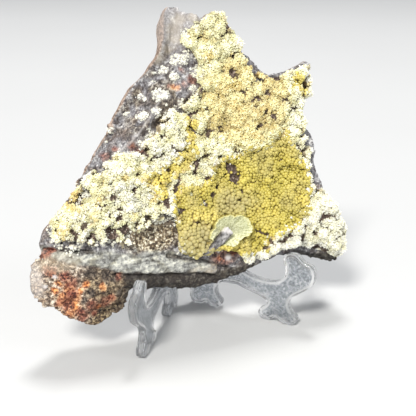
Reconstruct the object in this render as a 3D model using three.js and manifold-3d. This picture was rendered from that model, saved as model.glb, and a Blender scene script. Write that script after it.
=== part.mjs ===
// A mimetite specimen on a clear folding display easel.
//
// The stone is a slab of iron-stained rock with a crust of botryoidal mimetite on its front.
// It leans back on an easel of two moulded sides, which turn about one upright hinge axis.
// Millimetres, +Z up, the specimen's face towards -Y. The origin is the middle of the whole
// piece's footprint, at the level of the table.

import * as THREE from 'three';
import { mergeVertices } from 'three/addons/utils/BufferGeometryUtils.js';
import Module from 'manifold-3d';

const wasm = await Module();
wasm.setup();

// ---------------------------------------------------------------- driving dimensions

const GAP = 0.3; // clearance between pieces that touch

// where the hinge axis stands from the middle of the footprint
const HINGE_X = 3.4;
const HINGE_Y = 16.35;

// easel sides, measured in the plane of a side: a runs forward from the hinge, z runs up
const OPEN_ANGLE = 74.6; // degrees between the two sides
const SIDE_THICKNESS = 3.2;
const SIDE_OFFSET = 3.8; // from the hinge axis out to the middle plane of a side
const RIM_WIDTH = 1.3; // raised rim round each side
const POCKET_DEPTH = 0.7; // how far the web lies below the rim, on both faces

// hinge
const KNUCKLE_RADIUS = 1.95;
const PIN_RADIUS = 0.9;
const BORE_RADIUS = 1.2;
const SNAP_SLOT = 1.5; // opening of a clip, a little narrower than the pin
const HINGE_GROUPS = [8, 46]; // where each group of knuckles starts, above the table
const PIN_KNUCKLE = 3.2; // height of each of the two knuckles that hold a pin
const CLIP_HEIGHT = 7; // height of the clip between them

// stone: x across, y up the face, z out of the face, in a frame that leans back
const STONE_Y = -30; // the face's datum line, from the hinge axis
const STONE_Z = 20.3;
const LEAN = 15; // degrees that the face leans back
const FACE_LEVEL = -2.6; // the rock under the crust, from the face's datum plane
const BLOCK_LEVEL = -7; // the corner block's front
const DROP = 0.15; // how far the stone's section drops for each millimetre towards its back
const FOOT_DROP = 0.18; // and how much more it drops at the left half of its foot
const BACK_LOW = 18.6; // how far the back lies behind the face near the foot
const BACK_HIGH = 11.2; // and from BACK_TOP upward
const BACK_TOP = 60;
const POST_HOLLOW = 2.4; // depth of the hollow behind which the left side's post turns
const ROCK_CELL = 4; // facet size of the rock
const CRUST_CELL = 2.4; // facet size of the crust
const CRUST_THICKNESS = 1.7; // crust between its lumps
const LUMP_SPACING = 6;
const LUMP_HEIGHT = 2.3;

// ---------------------------------------------------------------- small tools

const degrees = THREE.MathUtils.degToRad;
const clamp = THREE.MathUtils.clamp;
const smoothstep = THREE.MathUtils.smoothstep;
const lerp = THREE.MathUtils.lerp;

function hash(i, j, k) {
  const s = Math.sin(i * 127.1 + j * 311.7 + k * 74.7) * 43758.5453;
  return s - Math.floor(s);
}

// smooth value noise between -1 and 1
function noise(x, y, z) {
  const cell = [x, y, z].map(Math.floor);
  const [u, v, w] = [x, y, z].map((value, axis) => smoothstep(value - cell[axis], 0, 1));
  const corner = (i, j, k) => hash(cell[0] + i, cell[1] + j, cell[2] + k);
  const edge = (j, k) => lerp(corner(0, j, k), corner(1, j, k), u);
  const face = (k) => lerp(edge(0, k), edge(1, k), v);
  return 2 * lerp(face(0), face(1), w) - 1;
}

// height from 0 to 1 of rounded lumps scattered over the plane
function lumps(x, y, spacing) {
  const column = Math.floor(x / spacing);
  const row = Math.floor(y / spacing);
  let height = 0;
  for (let i = column - 1; i <= column + 1; i++) {
    for (let j = row - 1; j <= row + 1; j++) {
      const centreX = (i + 0.15 + 0.7 * hash(i, j, 1)) * spacing;
      const centreY = (j + 0.15 + 0.7 * hash(i, j, 2)) * spacing;
      const radius = spacing * (0.62 + 0.3 * hash(i, j, 3));
      const reach = Math.hypot(x - centreX, y - centreY) / radius;
      height = Math.max(height, Math.sqrt(Math.max(0, 1 - reach * reach)));
    }
  }
  return height;
}

function dome(x, y, centreX, centreY, radiusX, radiusY) {
  const reach = Math.hypot((x - centreX) / radiusX, (y - centreY) / radiusY);
  return Math.sqrt(Math.max(0, 1 - reach * reach));
}

function distanceToLine(x, y, points) {
  let nearest = Infinity;
  for (let i = 1; i < points.length; i++) {
    const [ax, ay] = points[i - 1];
    const [bx, by] = points[i];
    const length = (bx - ax) ** 2 + (by - ay) ** 2;
    const t = clamp(((x - ax) * (bx - ax) + (y - ay) * (by - ay)) / length, 0, 1);
    nearest = Math.min(nearest, Math.hypot(x - lerp(ax, bx, t), y - lerp(ay, by, t)));
  }
  return nearest;
}

function solid(geometry) {
  const bare = geometry.clone();
  bare.deleteAttribute('normal');
  bare.deleteAttribute('uv');
  const merged = mergeVertices(bare, 1e-4);
  const vertProperties = new Float32Array(merged.attributes.position.array);
  const triVerts = new Uint32Array(merged.index.array);
  return new wasm.Manifold(new wasm.Mesh({ numProp: 3, vertProperties, triVerts }));
}

function geometryOf(manifold) {
  const mesh = manifold.getMesh();
  const geometry = new THREE.BufferGeometry();
  geometry.setAttribute('position', new THREE.BufferAttribute(new Float32Array(mesh.vertProperties), 3));
  geometry.setIndex(new THREE.BufferAttribute(new Uint32Array(mesh.triVerts), 1));
  geometry.computeVertexNormals();
  return geometry;
}

function displace(geometry, move) {
  const position = geometry.attributes.position;
  const point = new THREE.Vector3();
  for (let i = 0; i < position.count; i++) {
    point.fromBufferAttribute(position, i);
    move(point);
    position.setXYZ(i, point.x, point.y, point.z);
  }
  return geometry;
}

// ---------------------------------------------------------------- outlines of the stone

// the left edge, which lies well behind the face, from the top horn down to the knob
const LEFT_EDGE = [
  [-4.8, 96], [-7.6, 90.8], [-8.4, 84.6], [-10, 80.2], [-14.6, 75], [-20, 70.6], [-24.8, 64.4],
  [-27.2, 60.6], [-30.2, 56.2], [-34.4, 50.8], [-38.2, 46.2], [-39.8, 43.2], [-42, 42.4], [-42.6, 40],
  [-42.2, 38.6], [-46.6, 33.8], [-49.6, 30.8], [-54.8, 27.2], [-56.8, 23.4],
];

// the rusty corner block, from its shoulder round its foot
const BLOCK_EDGE = [
  [-57, 19.6], [-59.6, 15.8], [-60.6, 10], [-57.6, 4.2], [-54, 2], [-50.2, -0.6], [-45.6, -3.6],
  [-42, -5.8], [-37.6, -3.8], [-33.8, -1.4], [-30.6, 0.8],
];

// the broken foot of the slab, from the block to the right corner
const FOOT_EDGE = [
  [-28.6, 5.2], [-23.6, 5.1], [-18.3, 4.7], [-13.8, 3.5], [-6, 1.8], [3.2, 1.6], [11, 2.1],
  [19.2, 5], [26.8, 6.5], [31.8, 6.8], [38.2, 6.2], [45.4, 2.8], [50.6, 0.8],
];

const RIGHT_EDGE = [
  [52.6, 5.2], [53.8, 10.4], [52.6, 15.4], [51, 20.4], [47.4, 27], [44.6, 33.8], [44.4, 38.2],
  [45, 43.6], [43.6, 49], [41.6, 53.4], [41.2, 58], [44, 63], [45, 68.4], [46.4, 72.4], [44.8, 74],
];

const TOP_EDGE = [
  [40, 72.2], [35, 70.4], [29.4, 69.6], [26.2, 71], [23, 75.1], [18.8, 79.4], [17.6, 82.2], [13.2, 86.2],
  [11.2, 89.4], [10, 91.4], [7.4, 91.4], [5.8, 89.4], [3.4, 90.4], [1.2, 92.6], [-0.6, 95.4],
];

const ROCK_OUTLINE = [...LEFT_EDGE, ...BLOCK_EDGE, ...FOOT_EDGE, ...RIGHT_EDGE, ...TOP_EDGE];

// where the crust ends on the rock, and where it runs a little past the rock's edge
const CRUST_OUTLINE = [
  [7.6, 90.6], [6, 88.6], [3.8, 87], [0.4, 85.8], [-2.6, 84], [-2, 81.6], [0.6, 78], [2.2, 75],
  [0.8, 71.4], [1, 67], [-1.8, 63.8], [-5.2, 61.2], [-9.8, 61], [-11.8, 58.2], [-15, 57],
  [-18.6, 51.8], [-21.8, 49.2], [-25, 46.8], [-29.4, 48], [-34, 45], [-37.6, 44], [-41.2, 40.6],
  [-44.6, 36.8], [-48, 33.8], [-51, 31], [-53, 29.4], [-52.6, 27], [-53, 24.2], [-51.6, 22.2],
  [-48.8, 20.8], [-45, 18.6], [-37.2, 18.4], [-29.4, 16.6], [-28.9, 19.4], [-25.4, 21.6], [-22, 24.2], [-16.6, 25],
  [-12.2, 24], [-11.6, 20.8], [-11.8, 13.6], [-6.4, 10.6], [-2, 10.8], [2, 12.2], [9.2, 10.2],
  [12.6, 6.4], [20.3, 6.8], [30, 9.2], [37, 7.8], [44, 5], [50.6, 1.8], [53.8, 9.8], [51.4, 17.2],
  [47, 24], [43, 29], [40, 33], [39.6, 39], [41.6, 42.4], [39.2, 47.4], [39.4, 52], [39.6, 57],
  [43.6, 62], [44.6, 67], [44, 71.4], [39.8, 70.4], [34.8, 69], [28.4, 67.8], [24.4, 69.2],
  [21, 72.6], [17.6, 76.4], [16.8, 78.6], [18.4, 80.6], [16.4, 83], [13.4, 86.4], [11.4, 89.8], [9.6, 91],
];

const CREST = [[1.3, 66], [-15.8, 59.4], [-26.9, 52.8], [-38.5, 44.4]]; // of the left side
const LEDGE = [[-58, 22.5], [-52.1, 19], [-39.6, 14.8], [-29.8, 12.4], [-19.5, 11.2]]; // over the block
const FOOT_LINE = [[-24, 4], ...FOOT_EDGE.slice(2)];

// ---------------------------------------------------------------- the stone's surfaces

// the rock's front: an uneven face, a slanted left side, a ledge and a recessed corner block
function rockFront(x, y) {
  const rough = 0.55 * noise(x / 4.1, y / 4.1, 5) + 0.9 * noise(x / 13, y / 13, 9);
  const bowl = -2.4 * Math.exp(-(((x - 14) / 17) ** 2) - ((y - 31) / 13) ** 2);
  const steepness = lerp(0.6, 1.25, smoothstep(y, 26, 40));
  const leftSide = -steepness * Math.max(0, 8.6 - distanceToLine(x, y, LEFT_EDGE));
  const crest = 1.3 * Math.exp(-((distanceToLine(x, y, CREST) / 2.2) ** 2));
  const foot = -0.55 * Math.max(0, 6.5 - distanceToLine(x, y, FOOT_LINE));
  const rightSide = -0.7 * Math.max(0, 3 - distanceToLine(x, y, RIGHT_EDGE));
  const hollow = -1.6 * dome(x, y, -19.5, 18, 10, 8);
  const heels = 3 * dome(x, y, -25.5, 8, 8, 6) + 2.6 * dome(x, y, 27.5, 9.5, 9, 6);
  const below = y < ledgeHeight(x) ? distanceToLine(x, y, LEDGE) : 0;
  const onBlock = smoothstep(below, 0, 2.6) * smoothstep(-x, 22, 31);
  const face = FACE_LEVEL + rough + bowl + leftSide + crest + foot + rightSide + hollow + heels;
  const edge = distanceToLine(x, y, BLOCK_EDGE);
  const lumpy = 1.5 * lumps(x + 3, y + 1, 6.4) + 0.5 * noise(x / 2.6, y / 2.6, 3);
  const block = BLOCK_LEVEL + lumpy + 2.6 * Math.sqrt(clamp(edge / 9, 0, 1)) - 0.75 * Math.max(0, 6 - edge);
  return lerp(face, block, onBlock);
}

function ledgeHeight(x) {
  for (let i = 1; i < LEDGE.length; i++) {
    const [ax, ay] = LEDGE[i - 1];
    const [bx, by] = LEDGE[i];
    if (x <= bx) {
      return lerp(ay, by, clamp((x - ax) / (bx - ax), 0, 1));
    }
  }
  return LEDGE[LEDGE.length - 1][1];
}

// the rock's back: rough, thick at the foot, thinner at the top, with its edges broken off,
// and hollow where the left side's post turns behind it
function rockBack(x, y) {
  const depth = lerp(BACK_LOW, BACK_HIGH, clamp((y - 10) / (BACK_TOP - 10), 0, 1));
  const rough = 0.3 * noise(x / 6, y / 6, 21) + 0.4 * noise(x / 15, y / 15, 23);
  const edge = distanceToLine(x, y, [...RIGHT_EDGE, ...TOP_EDGE, ...LEFT_EDGE]);
  const foot = distanceToLine(x, y, FOOT_EDGE);
  const blockFoot = distanceToLine(x, y, BLOCK_EDGE);
  const footBreak = 1.2 * Math.max(0, 7 - foot);
  const broken = 0.35 * Math.max(0, 8 - edge) + footBreak + 1.1 * Math.max(0, 10 - blockFoot);
  const hollow = POST_HOLLOW * Math.exp(-(((x + 8) / 9) ** 2));
  return -depth + rough + hollow + Math.min(broken, 10);
}

// the crust's top over the rock: lumps of grown-together beads, finer in the olive hollow
function crustTop(x, y) {
  const olive = Math.exp(-(((x - 16) / 19) ** 2) - ((y - 31) / 14) ** 2);
  const grown = CRUST_THICKNESS + LUMP_HEIGHT * (1 - 0.55 * olive) * lumps(x, y, LUMP_SPACING);
  const broken = 2.6 * dome(x, y, 6.6, 17.7, 8.4, 5.8);
  return rockFront(x, y) + grown + broken + 0.25 * noise(x / 1.7, y / 1.7, 31);
}

// ---------------------------------------------------------------- the stone's solids

function drop(x, y, z) {
  const foot = (1 - smoothstep(y, 8, 30)) * smoothstep(x, -38, -28) * (1 - 0.82 * smoothstep(x, -8, 10));
  return z * (DROP + FOOT_DROP * foot);
}

// a prism of the outline, with its wall roughened and its section dropping towards the back
function prism(outline, front, back, steps, roughness) {
  const shape = new THREE.Shape(outline.map(([x, y]) => new THREE.Vector2(x, y)));
  const geometry = new THREE.ExtrudeGeometry(shape, { depth: front + back, steps, bevelEnabled: false });
  displace(geometry, (point) => {
    point.z -= back;
    const shift = roughness * noise(point.x / 3.3, point.y / 3.3, point.z / 3.3);
    const turn = Math.PI * noise(point.x / 7, point.y / 7, point.z / 4 + 40);
    point.x += shift * Math.cos(turn);
    point.y += shift * Math.sin(turn) + drop(point.x, point.y, point.z);
  });
  return solid(geometry);
}

// a slab between two height functions, on a grid of jittered cells
function slab(cell, front, back) {
  const width = 120;
  const height = 108;
  const columns = Math.round(width / cell);
  const rows = Math.round(height / cell);
  const geometry = new THREE.BoxGeometry(width, height, 2, columns, rows, 1);
  displace(geometry, (point) => {
    const isFront = point.z > 0;
    const column = Math.round((point.x / width + 0.5) * columns);
    const row = Math.round((point.y / height + 0.5) * rows);
    const x = point.x - 4 + 0.5 * cell * (hash(column, row, 11) - 0.5);
    const y = point.y + 44 + 0.5 * cell * (hash(column, row, 12) - 0.5);
    const z = isFront ? front(x, y) : back(x, y);
    point.set(x, y + drop(x, y, z), z);
  });
  return solid(geometry);
}

function matrixGeometry() {
  const outline = prism(ROCK_OUTLINE, 6, 24, 6, 0.9);
  return geometryOf(outline.intersect(slab(ROCK_CELL, rockFront, rockBack)));
}

function crustGeometry() {
  const outline = prism(CRUST_OUTLINE, 9, 12, 3, 0.7);
  const grown = outline.intersect(slab(CRUST_CELL, crustTop, () => -30));
  return geometryOf(grown.subtract(slab(ROCK_CELL, (x, y) => rockFront(x, y) + GAP, () => -40)));
}

// ---------------------------------------------------------------- the easel

// one side, counter-clockwise: the feet, the arm's upturned hook, the arm and the post
function sideOutline() {
  const shape = new THREE.Shape();
  const curve = (...points) => shape.splineThru(points.map(([a, z]) => new THREE.Vector2(a, z)));
  shape.moveTo(0.7, 3.4);
  curve([1.2, 1.3], [2.8, 0]);
  shape.lineTo(5, 0);
  curve([6.3, 0.8], [7.4, 1.4], [8.5, 0.8], [9.8, 0]);
  shape.lineTo(12, 0);
  curve([13.7, 1.1], [14.1, 2.9], [12.6, 4.6], [11.7, 6.6], [12.2, 9], [15, 11], [20.4, 11.4]);
  curve([26, 9.9], [31, 8.5], [32.6, 6.8], [31.4, 4.9], [29.5, 3.4], [29.6, 1.3], [31.3, 0]);
  shape.lineTo(33.6, 0);
  curve([35, 1], [36.2, 1.7], [37.6, 1], [39.2, 0]);
  shape.lineTo(42, 0);
  curve([44, 1.1], [44.3, 3.1], [42.4, 5], [41, 7.6], [42, 10.4], [45.2, 12.9]);
  curve([49.4, 16.4], [50.6, 20.6], [49.4, 23.6], [46.8, 24.6], [45.3, 25.6]);
  curve([43.8, 27.2], [41, 27.3], [38.8, 25.9], [38.6, 24], [39.5, 22], [39.2, 18.6], [36.6, 15.9]);
  curve([32.6, 15.2], [27, 15.7], [20.5, 18], [15.6, 20.9], [12.7, 24.6]);
  curve([11.4, 33], [9.4, 48], [8, 60], [6.3, 73.4]);
  curve([5.6, 75.4], [3.6, 76], [1.5, 75.4], [0.7, 73.6]);
  shape.lineTo(0.7, 3.4);
  return shape;
}

function insetShape(points, inset) {
  const moved = points.map((point, i) => {
    const before = points[(i + points.length - 1) % points.length];
    const after = points[(i + 1) % points.length];
    const along = new THREE.Vector2().subVectors(after, before).normalize();
    return new THREE.Vector2(point.x - along.y * inset, point.y + along.x * inset);
  });
  return new THREE.Shape(moved);
}

// a plate in the side's plane: a along x, z along y, thickness centred on the side's offset
function plate(shape, thickness, offset) {
  const geometry = new THREE.ExtrudeGeometry(shape, { depth: thickness, steps: 1, bevelEnabled: false });
  geometry.translate(0, 0, offset - thickness / 2);
  return solid(geometry);
}

function upright(radius, from, to, segments) {
  const geometry = new THREE.CylinderGeometry(radius, radius, to - from, segments);
  geometry.translate(0, (from + to) / 2, 0);
  return solid(geometry);
}

function block(width, height, depth, x, y, z) {
  const geometry = new THREE.BoxGeometry(width, height, depth);
  geometry.translate(x, y, z);
  return solid(geometry);
}

// a knuckle and the root that joins it to its side
function knuckle(from, to, offset) {
  const root = block(3.4, to - from, Math.abs(offset), 0.9, (from + to) / 2, offset / 2);
  return upright(KNUCKLE_RADIUS, from, to, 14).add(root);
}

function sidePlate(offset) {
  const points = sideOutline().getPoints(1);
  points.pop();
  const full = plate(new THREE.Shape(points), SIDE_THICKNESS, offset);
  const pocket = insetShape(points, RIM_WIDTH);
  const inner = plate(pocket, 2 * POCKET_DEPTH, offset - SIDE_THICKNESS / 2);
  const outer = plate(pocket, 2 * POCKET_DEPTH, offset + SIDE_THICKNESS / 2);
  return full.subtract(inner).subtract(outer);
}

// the side that holds the pins
function pinSide(offset) {
  let side = sidePlate(offset);
  for (const start of HINGE_GROUPS) {
    const clipStart = start + PIN_KNUCKLE + GAP;
    const clipEnd = clipStart + CLIP_HEIGHT;
    const end = clipEnd + GAP + PIN_KNUCKLE;
    side = side.add(knuckle(start, start + PIN_KNUCKLE, offset));
    side = side.add(knuckle(clipEnd + GAP, end, offset));
    side = side.add(upright(PIN_RADIUS, start + 0.5, end - 0.5, 10));
  }
  return side;
}

// the side that snaps on the pins
function clipSide(offset) {
  let side = sidePlate(offset);
  for (const start of HINGE_GROUPS) {
    const clipStart = start + PIN_KNUCKLE + GAP;
    const middle = clipStart + CLIP_HEIGHT / 2;
    const bore = upright(BORE_RADIUS, clipStart - 1, clipStart + CLIP_HEIGHT + 1, 12);
    const slot = block(3, CLIP_HEIGHT + 2, SNAP_SLOT, -1.8, middle, 0);
    const clip = knuckle(clipStart, clipStart + CLIP_HEIGHT, offset);
    side = side.add(clip).subtract(bore).subtract(slot);
  }
  return side;
}

// ---------------------------------------------------------------- materials

const clearPlastic = new THREE.MeshStandardMaterial({
  color: 0xe4ecef, roughness: 0.08, metalness: 0, transparent: true, opacity: 0.4,
});
const rock = new THREE.MeshStandardMaterial({ color: 0x6f655f, roughness: 0.85, metalness: 0 });
const mimetite = new THREE.MeshStandardMaterial({ color: 0xd9c878, roughness: 0.5, metalness: 0 });

// ---------------------------------------------------------------- assembly

function named(name, geometry, material) {
  const mesh = new THREE.Mesh(geometry, material);
  mesh.name = name;
  return mesh;
}

// A side is built with x forward, y up and the hinge axis along y, then turned upright about
// that axis, so that x points forward to the right or to the left.
function easelSide(name, side, forward) {
  const mesh = named(name, geometryOf(side), clearPlastic);
  const direction = new THREE.Vector3(Math.cos(forward), Math.sin(forward), 0);
  const up = new THREE.Vector3(0, 0, 1);
  const across = new THREE.Vector3().crossVectors(direction, up);
  mesh.quaternion.setFromRotationMatrix(new THREE.Matrix4().makeBasis(direction, up, across));
  return mesh;
}

const easel = new THREE.Group();
easel.add(easelSide('easel_right_side', pinSide(-SIDE_OFFSET), degrees(-90 + OPEN_ANGLE / 2)));
easel.add(easelSide('easel_left_side', clipSide(SIDE_OFFSET), degrees(-90 - OPEN_ANGLE / 2)));

const stone = new THREE.Group();
stone.add(named('matrix', matrixGeometry(), rock));
stone.add(named('mimetite_crust', crustGeometry(), mimetite));
stone.rotation.x = degrees(90 - LEAN);
stone.position.set(0, STONE_Y, STONE_Z);

const specimen = new THREE.Group();
specimen.add(easel, stone);
specimen.position.set(HINGE_X, HINGE_Y, 0);

export default specimen;
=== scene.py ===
# %% [markdown]
# # A mimetite specimen on a folding clear easel
# Mimetite is a lead mineral that grows as crowds of tiny round beads. Here they cover the face
# of a broken slab of grey rock, which leans in a moulded display easel of clear plastic. The
# CAD model holds the big shapes. This script loads it and grows the fine surface over it.

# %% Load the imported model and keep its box
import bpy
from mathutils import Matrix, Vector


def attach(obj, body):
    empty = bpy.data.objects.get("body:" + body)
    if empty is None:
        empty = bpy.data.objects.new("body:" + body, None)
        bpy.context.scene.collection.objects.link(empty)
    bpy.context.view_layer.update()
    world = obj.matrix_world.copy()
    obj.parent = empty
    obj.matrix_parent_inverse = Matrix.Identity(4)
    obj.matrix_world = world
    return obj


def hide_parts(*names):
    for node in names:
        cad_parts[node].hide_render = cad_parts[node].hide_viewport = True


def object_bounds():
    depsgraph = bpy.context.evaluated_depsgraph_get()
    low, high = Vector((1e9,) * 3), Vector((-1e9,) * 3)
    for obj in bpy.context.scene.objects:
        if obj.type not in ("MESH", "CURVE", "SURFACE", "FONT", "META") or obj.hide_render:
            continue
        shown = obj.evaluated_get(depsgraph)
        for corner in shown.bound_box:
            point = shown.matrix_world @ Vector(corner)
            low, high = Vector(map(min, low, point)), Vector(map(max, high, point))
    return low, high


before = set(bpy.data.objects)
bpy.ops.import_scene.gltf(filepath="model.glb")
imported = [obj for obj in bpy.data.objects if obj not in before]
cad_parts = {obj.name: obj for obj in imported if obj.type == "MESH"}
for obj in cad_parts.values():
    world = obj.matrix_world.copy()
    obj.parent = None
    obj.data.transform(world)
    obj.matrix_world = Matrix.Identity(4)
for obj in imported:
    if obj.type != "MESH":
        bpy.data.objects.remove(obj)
cad_box = [list(corner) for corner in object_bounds()]

import math

import bmesh
import bpy
import numpy as np
from mathutils import Matrix, Vector
from mathutils.kdtree import KDTree

MM = 0.001

# %% [markdown]
# Two helpers are wanted again and again. One puts a new object into the scene, and one turns a
# bmesh, which the modelling operators work on, into a mesh. The commands behind the menus would
# do as well, but they depend on what happens to be selected.

# %% Two helpers for new pieces


def into_scene(name, data):
    thing = bpy.data.objects.new(name, data)
    bpy.context.scene.collection.objects.link(thing)
    return thing


def mesh_of(bm, name):
    mesh = bpy.data.meshes.new(name)
    bm.to_mesh(mesh)
    bm.free()
    return mesh


# %% [markdown]
# The camera comes first, because everything is judged through it. It stands a little above the
# stone and to its left. Its place is given in millimetres and its turn as two angles, which is
# easier to read and to change than a rotation copied out of the viewport.

# %% The camera
CAMERA_PLACE = Vector((-101.4, -238.25, 134.2)) * MM
CAMERA_AZIMUTH = math.radians(-24.2)
CAMERA_HEIGHT = math.radians(19.2)
CAMERA_LENS = 69.23

view = bpy.data.cameras.new("camera")
view.lens = CAMERA_LENS
view.sensor_width = 36
view.sensor_fit = "HORIZONTAL"
view.clip_start = 0.01
camera = into_scene("camera", view)
camera.matrix_world = (
    Matrix.Translation(CAMERA_PLACE)
    @ Matrix.Rotation(CAMERA_AZIMUTH, 4, "Z")
    @ Matrix.Rotation(math.pi / 2 - CAMERA_HEIGHT, 4, "X")
)
bpy.context.scene.camera = camera
print("camera at", tuple(round(v, 3) for v in CAMERA_PLACE))

# %% [markdown]
# Small colour differences matter on a mineral, so the picture keeps the Standard view: a
# surface of one colour under white light then comes out as that colour. The light is a soft
# studio one: a broad key from the upper left, a weaker fill from the right, a top light for
# the glints on the plastic, and a pale world for the rest.

# %% Lights and world
bpy.context.scene.view_settings.view_transform = "Standard"


def soft_light(name, place, aim, size, power, colour):
    data = bpy.data.lights.new(name, "AREA")
    data.shape = "RECTANGLE"
    data.size, data.size_y = size
    data.energy = power
    data.color = colour
    light = into_scene(name, data)
    light.location = place
    light.rotation_euler = (Vector(aim) - Vector(place)).to_track_quat("-Z", "Y").to_euler()


AIM = (0, 0, 0.05)
soft_light("key", (-1.5, -1.5, 2.1), AIM, (0.6, 0.6), 99, (1, 0.985, 0.95))
soft_light("fill", (1.9, -1.6, 0.9), AIM, (0.9, 0.9), 19, (0.94, 0.97, 1))
soft_light("top", (0.4, 0.7, 2.2), AIM, (0.5, 0.5), 34, (1, 1, 1))

world = bpy.data.worlds.new("studio")
world.use_nodes = True
sky = world.node_tree.nodes["Background"]
sky.inputs["Color"].default_value = (0.82, 0.85, 0.9, 1)
sky.inputs["Strength"].default_value = 0.44
bpy.context.scene.world = world

# %% [markdown]
# Materials are built from nodes in code. They could be drawn in the shader editor, but code can
# be read, compared and used again. A few short helpers keep it readable: `plug` links a socket or
# sets its value, `node` adds a node, `ramp` turns a value into a colour, `mix` lays one colour
# over another by a mask, `tint` multiplies two colours, `maths` and `weigh` work on values, and
# `bumpy` turns a value into small relief, with its depth in millimetres.

# %% Helpers for materials
MIX_INPUTS = (0, 6, 7)  # factor and two colours: a Mix node has other inputs for other kinds
MIX_OUTPUT = 2


def plug(tree, socket, value):
    if isinstance(value, bpy.types.NodeSocket):
        tree.links.new(value, socket)
    else:
        socket.default_value = value


def node(tree, kind, **values):
    made = tree.nodes.new(kind)
    for name, value in values.items():
        if hasattr(made, name):
            setattr(made, name, value)
        else:
            plug(tree, made.inputs[name.replace("_", " ")], value)
    return made


def ramp(tree, factor, *stops):
    made = tree.nodes.new("ShaderNodeValToRGB")
    tree.links.new(factor, made.inputs[0])
    elements = made.color_ramp.elements
    while len(elements) < len(stops):
        elements.new(0.5)
    for element, (position, colour) in zip(elements, stops):
        element.position = position
        element.color = (*colour, 1)
    return made.outputs["Color"]


def mix(tree, factor, first, second, mode="MIX"):
    made = node(tree, "ShaderNodeMix", data_type="RGBA", blend_type=mode)
    for index, value in zip(MIX_INPUTS, (factor, first, second)):
        plug(tree, made.inputs[index], (*value, 1) if isinstance(value, tuple) else value)
    return made.outputs[MIX_OUTPUT]


def tint(tree, colour, wash):
    return mix(tree, 1.0, colour, wash, "MULTIPLY")


def maths(tree, operation, first, second, clamp=False):
    made = node(tree, "ShaderNodeMath", operation=operation, use_clamp=clamp)
    for socket, value in zip(made.inputs, (first, second)):
        plug(tree, socket, value)
    return made.outputs[0]


def weigh(tree, first, first_share, second, second_share):
    first_part = maths(tree, "MULTIPLY", first, first_share)
    return maths(tree, "ADD", first_part, maths(tree, "MULTIPLY", second, second_share))


def bumpy(tree, shader, height, strength, depth):
    bump = node(tree, "ShaderNodeBump", Strength=strength, Distance=depth * MM, Height=height)
    tree.links.new(bump.outputs[0], shader.inputs["Normal"])


def new_material(name, **values):
    material = bpy.data.materials.new(name)
    material.use_nodes = True
    shader = material.node_tree.nodes["Principled BSDF"]
    for socket, value in values.items():
        shader.inputs[socket.replace("_", " ")].default_value = value
    return material, material.node_tree, shader


# %% [markdown]
# Stone, beads, plastic and floor share one effect: a speckle of light and dark grains. It is a
# node group, so it is built once, and each material places it with its own grain size. It gives
# three values: fine noise, a broad noise four or five times as wide, and the tone of separate
# crystal grains, from the random colour that a Voronoi texture gives each of its cells.

# %% The speckle group
BROAD_SHARE = 0.22

speckle_group = bpy.data.node_groups.new("mineral speckle", "ShaderNodeTree")
speckle_group.interface.new_socket("Grains per metre", in_out="INPUT", socket_type="NodeSocketFloat")
for name in ("Fine", "Broad", "Cell"):
    speckle_group.interface.new_socket(name, in_out="OUTPUT", socket_type="NodeSocketFloat")
grains_in = speckle_group.nodes.new("NodeGroupInput").outputs[0]
group_out = speckle_group.nodes.new("NodeGroupOutput")
object_place = speckle_group.nodes.new("ShaderNodeTexCoord").outputs["Object"]
broad_scale = maths(speckle_group, "MULTIPLY", grains_in, BROAD_SHARE)
fine_noise = node(speckle_group, "ShaderNodeTexNoise", Vector=object_place, Scale=grains_in,
                  Detail=3.0, Roughness=0.65)
broad_noise = node(speckle_group, "ShaderNodeTexNoise", Vector=object_place, Scale=broad_scale,
                   Detail=4.0, Roughness=0.6)
grain_cells = node(speckle_group, "ShaderNodeTexVoronoi", Vector=object_place, Scale=grains_in)
cell_tone = node(speckle_group, "ShaderNodeSeparateColor", Color=grain_cells.outputs["Color"])
speckle_group.links.new(fine_noise.outputs["Fac"], group_out.inputs["Fine"])
speckle_group.links.new(broad_noise.outputs["Fac"], group_out.inputs["Broad"])
speckle_group.links.new(cell_tone.outputs[0], group_out.inputs["Cell"])
print("speckle group:", len(speckle_group.nodes), "nodes")

# %% [markdown]
# Each material asks for the speckle at its own grain size. The masks come from the mesh: the
# script paints four shares on every point as one colour, and an Attribute node reads them back.
# An image could hold such masks too, but it would need a UV map, and it would blur close by.

# %% Reading the speckle and the painted masks


def speckle(tree, grains_per_metre):
    placed = tree.nodes.new("ShaderNodeGroup")
    placed.node_tree = speckle_group
    placed.inputs[0].default_value = grains_per_metre
    return placed.outputs


def masks(tree, name):
    attribute = node(tree, "ShaderNodeAttribute", attribute_name=name)
    parts = node(tree, "ShaderNodeSeparateColor", Color=attribute.outputs["Color"])
    return parts.outputs[0], parts.outputs[1], parts.outputs[2], attribute.outputs["Alpha"]


# %% [markdown]
# The rock is one material with several faces: speckled grey on the slanted left side, a smooth
# grey-green ledge, rusty grains on the corner block, brown crumbs in the hollows and a dull
# brown back. These could be separate materials, but then their borders would be hard lines
# along the triangles. Masks let them run into one another. First come the values that all the
# tones share: grains, slanting and flat layers, and the glitter of small crystal faces, which is
# partly the tone of the grains and partly painted glints.

# %% The rock's grains and layers
rock_finish, tree, shader = new_material("speckled rock", Roughness=0.72)
rock_speckle = speckle(tree, 1250)
fine, broad, cell = (rock_speckle[name] for name in ("Fine", "Broad", "Cell"))
small_cell = speckle(tree, 2400)["Cell"]
stone_place = node(tree, "ShaderNodeTexCoord").outputs["Object"]


def layer_noise(noise_scale, **squash):
    bedding = node(tree, "ShaderNodeMapping", Vector=stone_place, **squash)
    return node(tree, "ShaderNodeTexNoise", Vector=bedding.outputs[0], Scale=noise_scale,
                Detail=4.0, Roughness=0.6).outputs["Fac"]


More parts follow.
